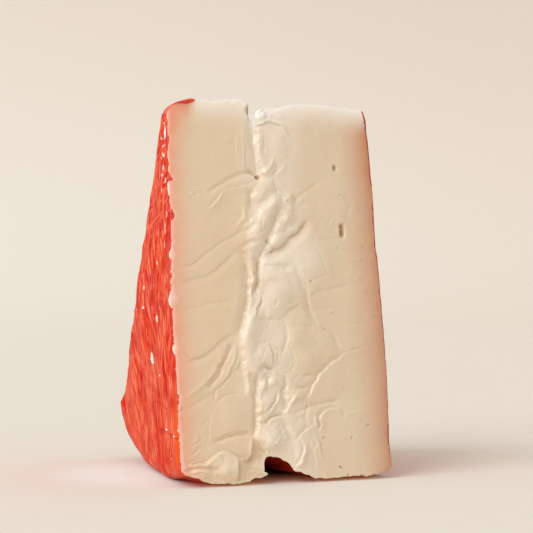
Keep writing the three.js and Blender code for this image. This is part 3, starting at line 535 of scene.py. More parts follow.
def lobe_height(u, v, points, rise, reaches):
    """Height of a rounded ridge that runs along a path."""
    height = np.zeros_like(u)
    near, distance, side, _, _ = nearest_on_path(u, v, points, max(reaches))
    reach = mix(reaches[1], reaches[0], 0.5 + 0.5 * np.tanh(side / 0.6))
    height[near] = rise * smooth(1 - distance / reach)
    return height


def oval_distance(u, v, centre, half):
    """Nothing at the centre of an oval, one on its outline."""
    return np.hypot((u - centre[0]) / half[0], (v - centre[1]) / half[1])


def swell_height(u, v, centre, half, height):
    return height * smooth(1 - oval_distance(u, v, centre, half)) ** 1.3


def pit_height(u, v, centre, half, depth):
    return -depth * smooth(1.35 - oval_distance(u, v, centre, half))


def scattered_folds(count, seed):
    """Small creases and torn edges of the crumpled middle, most of them running up to the right."""
    draw = random.Random(seed)
    folds = []
    for _ in range(count):
        up = draw.uniform(9, 76)
        across = draw.gauss(1.0 - 3.5 * math.sin(up / 17), 5.2)
        turn = math.radians(draw.gauss(48, 34))
        length = draw.uniform(1.6, 5.5)
        bow = draw.uniform(-0.25, 0.25) * length
        du, dv = math.cos(turn), math.sin(turn)
        middle = (across - bow * dv, up + bow * du)
        start = (across - du * length / 2, up - dv * length / 2)
        end = (across + du * length / 2, up + dv * length / 2)
        deep = draw.uniform(0.08, 0.3)
        raised = draw.uniform(-1, 0.9) * deep
        upper_left = (-deep, draw.uniform(0.5, 1.4))
        lower_right = (raised, draw.uniform(0.6, 1.8))
        folds.append(([start, middle, end], upper_left, lower_right))
    return folds


def relief(u, v, folds, swells, lobes=(), pits=()):
    total = np.zeros_like(u)
    for lobe in lobes:
        total += lobe_height(u, v, *lobe)
    for fold in folds:
        total += fold_height(u, v, *fold)
    for swell in swells:
        total += swell_height(u, v, *swell)
    for pit in pits:
        total += pit_height(u, v, *pit)
    return total


def wander(u, v, amount, size, seed):
    """The place moved a little, so that no line stays quite smooth."""
    return (
        u + amount * value_noise(u / size, v / size, seed),
        v + amount * value_noise(u / size, v / size, seed + 5),
    )


def torn_share(x):
    """How torn the thin top edge is: most by the break in it, hardly at the right."""
    near_break = 0.85 * smooth(1.4 - np.abs(x - TORN_X) / TORN_WIDTH)
    return 0.15 + near_break + 0.45 * smooth(1.3 - np.abs(x - TORN_LEFT_X) / TORN_WIDTH)


def by_break(x, z):
    """Share of the whitish crumbs right of the break in the thin end."""
    return smooth(1.5 - oval_distance(x, z, CRUMBS_PLACE, CRUMBS_HALF))


def front_relief(x, z):
    u, v = wander(x, z, 0.22, 1.3, 1)
    u, v = wander(u, v, 0.1, 0.5, 9)
    forms = relief(u, v, MAIN_FOLDS + scattered_folds(80, 5), SWELLS, LOBES, PITS)
    fine = unevenness(x, z, CURD_LAYERS)
    crumbled = unevenness(x, z, CRUMBLED_LAYERS) * (smooth((z - 95.5) / 3) * torn_share(x))
    crumbled += by_break(x, z) * unevenness(x, z, CRUMB_LAYERS)
    return forms + 0.15 * ripple(x, z, 0.7) + fine + crumbled + 0.4 * flap_band(x, z)


def back_relief(x, z):
    u, v = wander(x, z, 0.3, 1.7, 21)
    broad = relief(u, v, BACK_FOLDS + scattered_folds(70, 12), BACK_SWELLS)
    turned = relief(1.5 - u, 100 - v, MAIN_FOLDS, ())
    return broad + 0.6 * turned + 0.35 * ripple(x, z, 2.1)


def rim_height(y):
    offset = y - WHEEL_AXIS_Y
    arc = WHEEL_AXIS_Z - np.sqrt(WHEEL_RADIUS**2 - offset**2)
    return np.where(offset < 0, FRONT_SAG, 1) * np.maximum(arc, 0)


def notch_share(x):
    """One inside the notch, nothing under the feet beside it."""
    return smooth((x - NOTCH_LEFT) / 1.2) * smooth((NOTCH_RIGHT - x) / 2.5)


def lower_edge(x, y):
    under_foot = np.clip(1 - y / height_along(EDGE_CURL, x), 0, 1)
    in_notch = np.clip(1 - y / NOTCH_DEPTH, 0, 1)
    torn = unevenness(x, y, FOOT_LAYERS) * np.exp(-y / 1.5)
    raised = height_along(NOTCH_EDGE, x) * mix(under_foot, in_notch, notch_share(x))
    return np.maximum(rim_height(y) + raised + torn, 0)


def upper_edge(x, back):
    torn = unevenness(x, back, TIP_LAYERS)
    aslant = BREAK_SLANT * back * smooth(1.7 - np.abs(x - BREAK_X) / BREAK_REACH)
    return height_along(TIP_EDGE, x - aslant) + torn * smooth((28 - np.abs(x)) / 3) * torn_share(x)


def shoulder_inset(radius, height_over_rim):
    left = radius - np.clip(height_over_rim, 0, radius)
    return radius - np.sqrt(np.maximum(radius**2 - left**2, 0))


def streak_place(y, z):
    """Where a place lies across the rind's streaks, which lean to the front low down."""
    return (y + 1) * np.exp(np.maximum(STREAKS_LEAN_BELOW - z, 0) / STREAKS_LEAN_REACH)


def rind_relief(side, y, z):
    lumps = LEFT_RIND_LUMPS if side < 0 else RIGHT_RIND_LUMPS
    forms = sum(swell_height(y, z, *lump) for lump in lumps)
    streaks = unevenness(streak_place(y, z), z, STREAK_LAYERS)
    return forms + 0.3 * ripple(y, z, side + 1.9) + streaks + unevenness(y, z, RIND_LAYERS)


def overlap(side, z):
    """How far the rind lies over the front cut, by the tables and a little unevenness."""
    over = np.where(side < 0, height_along(LEFT_OVERLAP, z), height_along(RIGHT_OVERLAP, z))
    return over + unevenness(z, side, LAP_LAYERS)


def flap_band(x, z, end=FLAP_END):
    """Share of the red flap that the rind folds over the cut's top left corner."""
    hang = 1.3 * np.sqrt(np.clip((end - x) / 1.2, 0, 1)) * (1 - 0.7 * smooth((-22 - x) / 4.5))
    below = height_along(TIP_EDGE, x) - z
    return smooth((hang - below) / 0.3) * (x < end)


def dye_over_cut(side, share, x, z, back):
    """Share of red dye on the cuts and on the tip: the rind's lap, the flap and the specks."""
    from_edge = HALF_WIDTH * (1 - share)
    lap = overlap(side, z) * (1 - smooth(8 * back))
    over_edge = smooth((lap - from_edge) / 0.25 + 0.5)
    plain_edge = smooth(1.2 - from_edge / 0.3)
    ragged = 0.9 * value_noise(5 * back, 0.5 * side, 66) * smooth(8 * back)
    flap = flap_band(x, z, FLAP_END - 5 * back - ragged)
    over = np.maximum(np.where(back < 1, over_edge, plain_edge), flap)
    for centre, half in DYE_SPECKS:
        over = np.maximum(over, smooth(1.3 - oval_distance(x, z, centre, half)))
    return over


def pale_band(side, share, z):
    """Pale paste along the left rind, widest where a flake of the rind is gone."""
    from_dye = HALF_WIDTH * (1 - share) - np.maximum(overlap(side, z), 0)
    width = 0.65 + 0.4 * np.maximum(-overlap(side, z), 0) + 0.35 * value_noise(z / 1.7, 0.3, 63)
    return smooth(1.5 - from_dye / width) * (side < 0)


def dye_distance(share, x, z, back):
    """How far a place of a cut is from the rind or from the flap over the top left corner."""
    from_rind = HALF_WIDTH * (1 - share)
    from_flap = height_along(TIP_EDGE, x) - z + 9 * smooth((x + 23) / 4.5)
    return np.where(back < 1, np.minimum(from_rind, np.maximum(from_flap, 0)), from_rind)


def bare_rind(side, from_front, z):
    """Share of paste that shows in the rind: by the front cut, and in the left rind's marks."""
    near_edge = smooth((-overlap(side, z) - from_front) / 0.5 + 0.5)
    marks = np.zeros_like(z)
    u = from_front + 0.7 * value_noise(from_front / 1.6, z / 0.55, 71)
    v = z + 0.35 * value_noise(from_front / 0.9, z / 0.7, 72)
    for centre, half in BARE_MARKS:
        marks = np.maximum(marks, smooth((1.2 - oval_distance(u, v, centre, half)) / 0.45))
    return np.maximum(near_edge, marks * (side < 0))


def rind_cracks(side, y, z):
    total = np.zeros_like(y)
    for points in RIND_CRACKS:
        total = np.maximum(total, fold_height(y, z, points, (1, 0.8), (1, 0.8)))
    return total * (side < 0)


def wedge_points(across, back, up):
    """Points of the surface, and what the finish needs to know of each, from three shares."""
    across, back, up = np.broadcast_arrays(across, back, up)
    side = np.where(across < 0, -1, 1)
    share = np.abs(across)
    nominal_x = MIDDLE_X + across * HALF_WIDTH
    low = lower_edge(nominal_x, back * FOOT_DEPTH)
    # the rows are level, but for those near the uneven edges
    near_foot = np.clip(1 - up / FOOT_ROWS, 0, 1)
    near_tip = np.clip((up - (1 - TIP_ROWS)) / TIP_ROWS, 0, 1)
    z = TOP_LEVEL * up + low * near_foot**2
    z = z + (upper_edge(nominal_x, back) - TOP_LEVEL) * near_tip**2

    y_front = FRONT_LEAN * (z - FRONT_FOOT_Z) / (TIP_Z - FRONT_FOOT_Z)
    y_back = mix(FOOT_DEPTH, FRONT_LEAN + TIP_THICKNESS, (z - BACK_FOOT_Z) / (TIP_Z - BACK_FOOT_Z))
    y_plain = mix(y_front, y_back, back)

    left_shoulder = mix(*LEFT_SHOULDER, back)
    right_shoulder = mix(*RIGHT_SHOULDER, back)
    inset = shoulder_inset(np.where(side < 0, left_shoulder, right_shoulder), z - low)
    uneven = np.where(side < 0, rind_relief(-1, y_plain, z), rind_relief(1, y_plain, z))
    narrowing = np.where(side < 0, LEFT_NARROWING, RIGHT_NARROWING)
    inset = inset - uneven + narrowing * smooth((z - NARROWS_FROM) / NARROWS_OVER)
    x = nominal_x - side * inset * share**3

    beside_spur = smooth(1 - np.abs(nominal_x - SPUR_X) / SPUR_WIDTH)
    beside_spur = beside_spur * smooth((z - SPUR_Z) / 0.6) * smooth((SPUR_TOP - z) / 3)
    x = x - SPUR_REACH * beside_spur * np.clip(1 - y_plain / SPUR_DEPTH, 0, 1)

    wear = EDGE_WEAR * np.exp(-HALF_WIDTH * (1 - share) / EDGE_WEAR_WIDTH)
    front = np.zeros_like(x)
    back_form = np.zeros_like(x)
    in_front = back < 1
    front[in_front] = front_relief(x[in_front], z[in_front])
    behind = back > 0
    back_form[behind] = back_relief(x[behind], z[behind])
    y = mix(y_front - front + wear, y_back + back_form - wear, back)
    places = np.stack([x, y - ORIGIN_Y, z], axis=-1) * MM
    notched = notch_share(nominal_x)
    # painted light: the underside just behind the feet gets the paste's cream, for light that comes
    # through the thin lip into the gap
    lit_underside = (up == 0) * smooth((5 - y_plain) / 2) * (1 - notched) * smooth(nominal_x + 22)
    notes = {
        "from_dye": dye_distance(share, nominal_x, z, back),
        "from_top": (upper_edge(nominal_x, back) - z) * (1 - 0.5 * by_break(nominal_x, z)),
        "pale": pale_band(side, share, z),
        "relief": np.where(back < 0.5, front, back_form),
        "dye": dye_over_cut(side, share, nominal_x, z, back),
        "bare_and_lit_underside": np.maximum(bare_rind(side, y_plain - y_front, z), lit_underside),
        "crack": rind_cracks(side, y_plain, z),
        "streak": streak_place(y_plain, z),
        "from_front": y_plain - y_front,
        # painted shade on the underside, darkest in the notch
        "underside_shade": (up == 0) * (0.5 + 0.5 * notched),
    }
    return places, notes


def column_shares(count):
    even = np.linspace(-1, 1, count + 1)
    shares = even - 0.1 * np.sin(np.pi * (even + 0.08)) * np.sqrt(1 - even**2)
    shares[0], shares[-1] = -1, 1
    return np.sort(np.append(shares, (np.array(SPUR_COLUMNS) - MIDDLE_X) / HALF_WIDTH))


def row_shares(count):
    even = np.linspace(0, 1, count + 1)
    return even - 0.03 * np.sin(np.pi * even) * (1 - even)


def depth_shares(count):
    """Steps from the front cut to the back cut, finer by the front."""
    even = np.linspace(0, 1, count + 1)
    return even - 0.12 * np.sin(np.pi * even)


class Skin:
    """A surface made of rows of shares, where neighbouring rows may hold different counts."""

    def __init__(self):
        self.shares, self.faces, self.slots = [], [], []
        self.count = 0

    def add_row(self, across, back, up):
        row = np.stack(np.broadcast_arrays(across, back, up), axis=-1).astype(float)
        first = self.count
        self.shares.append(row)
        self.count += len(row)
        return np.arange(first, self.count)

    def strip(self, left, right, slot):
        if len(left) == len(right):
            quads = np.stack([left[:-1], right[:-1], right[1:], left[1:]], axis=-1)
            self.faces.extend(quads.tolist())
            self.slots.extend([slot] * len(quads))
            return
        i = j = 0
        while i < len(left) - 1 or j < len(right) - 1:
            left_lags = (i + 1) / (len(left) - 1) <= (j + 1) / (len(right) - 1)
            if j == len(right) - 1 or (i < len(left) - 1 and left_lags):
                self.faces.append([left[i], right[j], left[i + 1]])
                i += 1
            else:
                self.faces.append([left[i], right[j], right[j + 1]])
                j += 1
            self.slots.append(slot)

    def face(self, rows, slot):
        for left, right in zip(rows, rows[1:]):
            self.strip(left, right, slot)


PASTE_SLOT, RIND_SLOT = 0, 1


def cheese_mesh():
    skin = Skin()
    columns = column_shares(FRONT_COLUMNS)
    rows = row_shares(FRONT_ROWS)
    depths = depth_shares(DEPTH_STEPS)
    thin = (columns[::COARSE], rows[::COARSE])

    def upright(across, back):
        fine = back == 0 or (across == -1 and back < 1)
        return skin.add_row(across, back, rows if fine else thin[1])

    def level(up, back):
        acrosses = columns if back == 0 else thin[0]
        return skin.add_row(acrosses, back, up)[::-1]

    skin.face([upright(across, 0) for across in columns], PASTE_SLOT)
    skin.face([upright(across, 1) for across in thin[0][::-1]], PASTE_SLOT)
    skin.face([upright(-1, back) for back in depths[::-1]], RIND_SLOT)
    skin.face([upright(1, back) for back in depths], RIND_SLOT)
    skin.face([level(1, back) for back in depths], PASTE_SLOT)
    skin.face([level(0, back) for back in depths[::-1]], RIND_SLOT)

    keys = np.round(np.vstack(skin.shares), 9)
    shares, merged = np.unique(keys, axis=0, return_inverse=True)
    merged = merged.ravel()
    places, notes = wedge_points(*shares.T)
    faces = [[int(merged[corner]) for corner in face] for face in skin.faces]

    mesh = bpy.data.meshes.new("broken_wedge")
    mesh.from_pydata(places.tolist(), [], faces)
    mesh.polygons.foreach_set("material_index", skin.slots)
    mesh.polygons.foreach_set("use_smooth", [True] * len(faces))
    for name, values in notes.items():
        mesh.attributes.new(name, "FLOAT", "POINT").data.foreach_set("value", values.astype(np.float32))
    mesh.update()
    return mesh


# Finishes

PASTE_LEFT = (229, 203, 170)
PASTE_RIGHT = (224, 201, 171)
PASTE_WHITE_AND_SHEEN = (238, 224, 205)
PASTE_CREASE_SHADE = (222, 188, 146)
PASTE_CREST_HIGHLIGHT = (240, 230, 216)
PAINTED_RED_LIGHT_LEFT = (237, 150, 118)
PAINTED_RED_LIGHT_RIGHT = (203, 143, 107)
PAINTED_RED_LIGHT_HIGH = (202, 124, 76)
PALE_EDGE = (242, 200, 186)
PALE_SHINE_THROUGH = (250, 243, 234)
DYE_DEEP = (206, 36, 10)
DYE_PALE = (232, 90, 40)
DYE_PAINTED_SHADE = (176, 62, 38)
RED_DARK = (190, 12, 2)
RED_DEEP = (208, 28, 6)
RED_MIDDLE = (223, 58, 24)
RED_PALE = (233, 90, 50)
RED_THREAD = (241, 124, 88)
RED_ROSY = (219, 76, 48)
RED_ORANGE = (232, 90, 24)
RED_CRACK = (176, 26, 12)
RED_UNDERSIDE_SHADE = (140, 22, 4)
BARE_PASTE_AND_LIT_UNDERSIDE = (248, 226, 214)
FLOOR_TONE = (236, 231, 223)
FLOOR_PAINTED_LIGHT_BY_RIND = (240, 253, 251)
WALL_TONE = (234, 224, 212)
BACKDROP_PAINTED_SHADE = (226, 212, 199)
NO_GLOW = (0, 0, 0)
GLOW_BROWN = (92, 50, 22)
GLOW_RED = (96, 16, 10)


class Nodes:
    """Short ways to add and join shader nodes."""

    def __init__(self, tree):
        self.tree = tree

    def add(self, kind, inputs=None, **settings):
        node = self.tree.nodes.new(kind)
        for name, value in settings.items():
            setattr(node, name, value)
        self.fill(node, inputs or {})
        return node

    def fill(self, node, inputs):
        for name, value in inputs.items():
            self.put(node.inputs[name], value)

    def put(self, socket, value):
        if isinstance(value, bpy.types.NodeSocket):
            self.tree.links.new(value, socket)
        else:
            socket.default_value = value

    def math(self, operation, a, b=0.0, clamp=False):
        return self.add("ShaderNodeMath", {0: a, 1: b}, operation=operation, use_clamp=clamp).outputs[0]

    def span(self, value, low, high, to_low=0.0, to_high=1.0):
        """Smooth step from low to high."""
        node = self.add(
            "ShaderNodeMapRange",
            {"Value": value, "From Min": low, "From Max": high, "To Min": to_low, "To Max": to_high},
            interpolation_type="SMOOTHSTEP",
        )
        return node.outputs["Result"]

    def plus(self, a, b):
        return self.math("ADD", a, b)

    def times(self, a, b):
        return self.math("MULTIPLY", a, b)

    def minus(self, a, b):
        return self.math("SUBTRACT", a, b)

    def swing(self, value, amount):
        """A noise value between 0 and 1, as an amount to either side."""
        return self.times(self.minus(value, 0.5), amount)

    def blend(self, factor, a, b):
        """Between two colours, each from a node or as shown on a screen."""
        node = self.add("ShaderNodeMix", data_type="RGBA")
        for index, value in ((0, factor), (6, a), (7, b)):
            self.put(node.inputs[index], linear(*value) if isinstance(value, tuple) else value)
        return node.outputs[2]

    def fading(self, distance, reach, power, most):
        """From most at no distance down to nothing at the reach."""
        near = self.math("SUBTRACT", 1.0, self.math("DIVIDE", distance, reach), clamp=True)
        return self.times(self.math("POWER", near, power), most)

    def place_on_object(self):
        """The place itself in metres, and its distance across and height in millimetres."""
        place = self.add("ShaderNodeTexCoord").outputs["Object"]
        parts = self.add("ShaderNodeSeparateXYZ", {0: place}).outputs
        return place, self.math("DIVIDE", parts["X"], MM), self.math("DIVIDE", parts["Z"], MM)

    def attribute(self, name):
        return self.add("ShaderNodeAttribute", attribute_name=name).outputs["Fac"]

    def noise(self, vector, scale, detail=2.0, roughness=0.5):
        inputs = {"Vector": vector, "Scale": scale, "Detail": detail, "Roughness": roughness}
        return self.add("ShaderNodeTexNoise", inputs).outputs["Fac"]


def linear(red, green, blue):
    """A colour as shown on a screen, from 0 to 255, as linear light."""
    def one(value):
        value /= 255
        return value / 12.92 if value <= 0.04045 else ((value + 0.055) / 1.055) ** 2.4
    return (one(red), one(green), one(blue), 1.0)


def new_material(name):
    material = bpy.data.materials.new(name)
    material.use_nodes = True
    nodes = Nodes(material.node_tree)
    shader = material.node_tree.nodes["Principled BSDF"]
    return material, nodes, shader


def grain_group():
    """Very fine unevenness that both the paste and the rind have."""
    tree = bpy.data.node_groups.new("curd_grain", "ShaderNodeTree")
    tree.interface.new_socket("Place", in_out="INPUT", socket_type="NodeSocketVector")
    tree.interface.new_socket("Size", in_out="INPUT", socket_type="NodeSocketFloat")
    tree.interface.new_socket("Height", in_out="OUTPUT", socket_type="NodeSocketFloat")
    nodes = Nodes(tree)
    start = nodes.add("NodeGroupInput")
    scale = nodes.math("DIVIDE", 1 / MM, start.outputs["Size"])
    fine = nodes.noise(start.outputs["Place"], scale, 3.0, 0.55)
    cells = nodes.add("ShaderNodeTexVoronoi", {"Vector": start.outputs["Place"], "Scale": scale})
    dips = nodes.span(cells.outputs["Distance"], 0.0, 0.25)
    height = nodes.plus(fine, nodes.times(dips, 0.35))
    nodes.add("NodeGroupOutput", {"Height": height})
    return tree


def paste_material(grain):
    material, nodes, shader = new_material("broken_paste")
    place, across, height = nodes.place_on_object()
    relief_height = nodes.attribute("relief")

    # smooth panels at the sides; the crumpled middle whiter, painted sheen for the light its many
    # slopes catch, and whiter patches at random
    cloud = nodes.noise(place, 70.0, 3.0)
    leftness = nodes.span(across, 6.0, -10.0)
    panels = nodes.blend(leftness, PASTE_RIGHT, PASTE_LEFT)
    from_crack = nodes.plus(across, nodes.swing(cloud, 5.0))
    leaning = nodes.times(nodes.span(height, 56.0, 44.0), nodes.span(height, 14.0, 24.0, 0.0, 4.0))
    from_crack = nodes.math("ABSOLUTE", nodes.plus(from_crack, leaning))
    middle_sheen = nodes.span(from_crack, 12.0, 2.0, 0.0, 0.75)
    cream = nodes.blend(middle_sheen, panels, PASTE_WHITE_AND_SHEEN)
    patch = nodes.times(nodes.noise(place, 26.0, 1.0), 0.3)
    cream = nodes.blend(patch, cream, PASTE_WHITE_AND_SHEEN)
    # a whiter oval in the middle, painted sheen as well
    aside = nodes.math("DIVIDE", nodes.minus(across, 3.5), 11.0)
    above = nodes.math("DIVIDE", nodes.minus(height, 57.5), 10.0)
    off = nodes.plus(nodes.math("POWER", aside, 2.0), nodes.math("POWER", above, 2.0))
    cream = nodes.blend(nodes.span(off, 1.2, 0.1, 0.0, 0.8), cream, PASTE_WHITE_AND_SHEEN)
    # painted shade: tan in the hollows of the relief
    cream = nodes.blend(nodes.span(relief_height, -0.3, -1.4, 0.0, 0.3), cream, PASTE_CREASE_SHADE)
    # painted highlight: paler on the crests of the relief
    cream = nodes.blend(nodes.span(relief_height, 0.5, 1.8, 0.0, 0.4), cream, PASTE_CREST_HIGHLIGHT)

    # pink near the rind and the flap, painted red light that the translucent paste carries in from the
    # rind, deeper and darker at the right
    uneven = nodes.noise(place, 230.0, 2.0)
    depth = nodes.attribute("from_dye")
    depth = nodes.plus(depth, nodes.swing(uneven, 1.6))
    right = nodes.span(across, -5.0, 5.0)
    left_depth = nodes.minus(depth, nodes.span(height, 86.0, 94.0, 0.0, 2.2))
    left_share = nodes.fading(left_depth, 8.5, 2.2, 0.85)
    right_share = nodes.fading(depth, 11.0, 1.6, 0.95)
    right_share = nodes.times(right_share, nodes.span(height, 96.5, 90.0, 0.35, 1.0))
    left_red_light = nodes.blend(left_share, cream, PAINTED_RED_LIGHT_LEFT)
    right_colour = nodes.blend(nodes.span(height, 70.0, 84.0), PAINTED_RED_LIGHT_RIGHT, PAINTED_RED_LIGHT_HIGH)
    right_red_light = nodes.blend(right_share, cream, right_colour)
    cream = nodes.blend(right, left_red_light, right_red_light)

    # pale band just inside the left rind, and the thin top edge and the crumbs by the break paler,
    # painted light that shines through the thin cheese
    band = nodes.times(nodes.attribute("pale"), nodes.span(uneven, 0.3, 0.6, 0.5, 0.9))
    band = nodes.times(band, nodes.span(height, 76.0, 60.0, 0.4, 1.0))
    cream = nodes.blend(band, cream, PALE_EDGE)
    torn = nodes.noise(place, 420.0, 2.0)
    from_top = nodes.plus(nodes.attribute("from_top"), nodes.minus(torn, 0.5))
    top = nodes.times(nodes.fading(from_top, 8.0, 1.8, 0.95), nodes.span(across, -21.5, -18.5))
    cream = nodes.blend(top, cream, PALE_SHINE_THROUGH)
    # the lowest edge of the cut paler too, painted light through its thin lip
    foot = nodes.span(nodes.plus(height, torn), 1.6, 0.6, 0.0, 0.7)
    cream = nodes.blend(foot, cream, PALE_SHINE_THROUGH)

    # rind lying over the cut's edges, and a few stray specks of it
    wavy = nodes.noise(place, 900.0, 2.0)
    dye = nodes.plus(nodes.attribute("dye"), nodes.swing(wavy, 0.5))
    dyed = nodes.span(dye, 0.38, 0.62)
    red = nodes.blend(nodes.span(wavy, 0.35, 0.65), DYE_DEEP, DYE_PALE)
    # painted shade: the dye darker at the right, which faces away from the light
    red = nodes.blend(right, red, DYE_PAINTED_SHADE)
    cream = nodes.blend(dyed, cream, red)

    grains = nodes.add("ShaderNodeGroup", {"Place": place, "Size": 1.1}, node_tree=grain)
    low_bump = {"Height": grains.outputs["Height"], "Strength": 0.2, "Distance": 0.12 * MM}
    nodes.fill(shader, {
        "Base Color": cream,
        "Roughness": nodes.span(cloud, 0.3, 0.7, 0.26, 0.34),
        "Subsurface Weight": 0.4,
        "Subsurface Radius": (1.0, 0.6, 0.33),
        "Subsurface Scale": 1.6 * MM,
        "Specular IOR Level": 0.6,
        "Normal": nodes.add("ShaderNodeBump", low_bump).outputs["Normal"],
    })
    return material


def rind_material(grain):
    material, nodes, shader = new_material("red_rind")
    place, across, height = nodes.place_on_object()
    from_front = nodes.attribute("from_front")
    bend = nodes.swing(nodes.noise(place, 120.0, 2.0), 7.0)
    crosswise = nodes.plus(nodes.attribute("streak"), bend)
    streak_parts = {"X": crosswise, "Y": across, "Z": height}
    along_streak = nodes.add("ShaderNodeCombineXYZ", streak_parts).outputs[0]

    def streaks(width, length, detail, roughness, vector=along_streak):
        scale = (1 / width, 1 / width, 1 / length)
        scaled = nodes.add("ShaderNodeMapping", {"Vector": vector, "Scale": scale}).outputs[0]
        return nodes.noise(scaled, 1.0, detail, roughness)

    broad = streaks(4.4, 12.0, 3.0, 0.6)
    fine = streaks(1.5, 6.0, 3.0, 0.65)
    threads = streaks(0.85, 4.5, 2.0, 0.5)
    blotch = nodes.noise(place, 240.0, 3.0)
    patches = nodes.noise(place, 110.0, 2.0)
    tone = nodes.plus(nodes.times(broad, 0.4), nodes.times(fine, 0.35))
    tone = nodes.plus(tone, nodes.times(blotch, 0.25))
    ramp = nodes.add("ShaderNodeValToRGB", {"Fac": tone})
    stops = ramp.color_ramp.elements
    stops[0].position, stops[0].color = 0.43, linear(*RED_DEEP)
    stops[1].position, stops[1].color = 0.57, linear(*RED_PALE)
    middle = stops.new(0.5)
    middle.color = linear(*RED_MIDDLE)

    # rosier low down, in broad light and dark parts
    lowness = nodes.span(height, 44.0, 16.0)
    rosy = nodes.times(lowness, nodes.span(blotch, 0.35, 0.6, 0.2, 0.6))
    colour = nodes.blend(rosy, ramp.outputs["Color"], RED_ROSY)
    light_part = nodes.times(lowness, nodes.span(broad, 0.5, 0.64, 0.0, 0.35))
    colour = nodes.blend(light_part, colour, RED_THREAD)
    dark_part = nodes.times(lowness, nodes.span(broad, 0.5, 0.38, 0.0, 0.55))
    colour = nodes.blend(dark_part, colour, RED_DEEP)

    # fine light and dark strokes, each in patches
    light_patch = nodes.span(patches, 0.4, 0.52, 0.25, 1.0)
    light_thread = nodes.times(nodes.span(threads, 0.52, 0.6, 0.0, 0.9), light_patch)
    colour = nodes.blend(light_thread, colour, RED_THREAD)
    dark_patch = nodes.span(patches, 0.58, 0.46, 0.25, 1.0)
    dark_thread = nodes.times(nodes.span(threads, 0.48, 0.4, 0.0, 0.95), dark_patch)
    colour = nodes.blend(dark_thread, colour, RED_DARK)

    # a saturated strip along the front cut, and pale strokes across the upper half
    strip = nodes.plus(from_front, nodes.times(blotch, 5.0))
    colour = nodes.blend(nodes.span(strip, 6.5, 3.5, 0.0, 0.7), colour, RED_DEEP)
    climb = nodes.plus(height, nodes.times(from_front, 0.3))
    slanting = nodes.add("ShaderNodeCombineXYZ", {"X": climb, "Z": from_front}).outputs[0]
    strokes = streaks(1.0, 8.0, 2.0, 0.5, slanting)
    in_band = nodes.times(nodes.span(height, 60.0, 68.0), nodes.span(height, 90.0, 80.0))
    stroke = nodes.times(nodes.span(strokes, 0.55, 0.63, 0.0, 0.7), in_band)
    colour = nodes.blend(stroke, colour, RED_THREAD)

    # orange by the lowest front corner
    orange = nodes.times(nodes.span(strip, 7.5, 4.0), nodes.span(patches, 0.35, 0.55, 0.3, 0.9))
    orange = nodes.times(orange, nodes.span(height, 28.0, 24.0))
    colour = nodes.blend(orange, colour, RED_ORANGE)
    # painted shade: the underside darker red, most in the notch
    colour = nodes.blend(nodes.attribute("underside_shade"), colour, RED_UNDERSIDE_SHADE)

    # cracks, and flecks of paste where the dye missed, most of them near the thin end; the same cream
    # is painted light on the underside just behind the feet
    cracked = nodes.span(nodes.attribute("crack"), 0.55, 0.85, 0.0, 0.85)
    colour = nodes.blend(cracked, colour, RED_CRACK)
    fleck = streaks(1.5, 3.4, 2.0, 0.5)
    threshold = nodes.span(height, 70.0, 92.0, 0.74, 0.67)
    stray = nodes.span(nodes.minus(fleck, threshold), 0.0, 0.03)
    bare_and_lit_underside = nodes.math("MAXIMUM", nodes.span(nodes.attribute("bare_and_lit_underside"), 0.35, 0.65), stray)
    colour = nodes.blend(bare_and_lit_underside, colour, BARE_PASTE_AND_LIT_UNDERSIDE)

    grains = nodes.add("ShaderNodeGroup", {"Place": place, "Size": 0.7}, node_tree=grain)
    rough = nodes.plus(tone, nodes.times(grains.outputs["Height"], 0.2))
    rough = nodes.plus(rough, nodes.times(threads, 0.2))
    bump = nodes.add("ShaderNodeBump", {"Height": rough, "Strength": 0.4, "Distance": 0.5 * MM})
    nodes.fill(shader, {
        "Base Color": colour,
        "Roughness": nodes.span(fine, 0.3, 0.7, 0.34, 0.48),
        "Subsurface Weight": 0.1,
        "Subsurface Radius": (1.0, 0.25, 0.12),
        "Subsurface Scale": MM,
        "Specular IOR Level": 0.04,
        "Normal": bump.outputs["Normal"],
    })
    return material


def backdrop_material():
    material, nodes, shader = new_material("warm_paper")
    place = nodes.add("ShaderNodeTexCoord").outputs["Object"]
    parts = nodes.add("ShaderNodeSeparateXYZ", {0: place}).outputs
    x, y, z = parts["X"], parts["Y"], parts["Z"]
    rise = nodes.span(z, 0.0, 0.5)
    tone = nodes.blend(rise, FLOOR_TONE, WALL_TONE)
    # painted shade: the backdrop darker to the right, away from the light
    aside = nodes.plus(x, nodes.times(y, -0.35))
    tone = nodes.blend(nodes.span(aside, -0.6, 0.6, 0.0, 0.5), tone, BACKDROP_PAINTED_SHADE)

    # painted light: paler paper beside the rind, to cancel part of the red light that the rind throws
    # on it
    patch = {"Vector": place, "Location": PAPER_SHIFT, "Scale": PAPER_SCALE}
    beside = nodes.add("ShaderNodeMapping", patch).outputs[0]
    away = nodes.add("ShaderNodeVectorMath", {0: beside}, operation="LENGTH").outputs["Value"]
    tone = nodes.blend(nodes.span(away, 1.0, 0.2), tone, FLOOR_PAINTED_LIGHT_BY_RIND)

    # faint warm light under the wedge, as comes through its thin lower edges
    inside = nodes.times(nodes.span(y, *GLOW_FRONT), nodes.span(y, *GLOW_BACK))
    inside = nodes.times(inside, nodes.span(nodes.math("ABSOLUTE", x), *GLOW_SIDES))
    glow = nodes.blend(nodes.span(x, *GLOW_RED_TO_BROWN), GLOW_RED, GLOW_BROWN)
    nodes.fill(shader, {
        "Base Color": tone,
        "Emission Color": nodes.blend(inside, NO_GLOW, glow),
        "Emission Strength": 1.0,
        "Roughness": 0.9,
        "Specular IOR Level": 0.1,
    })
    return material


# Stage, light and camera

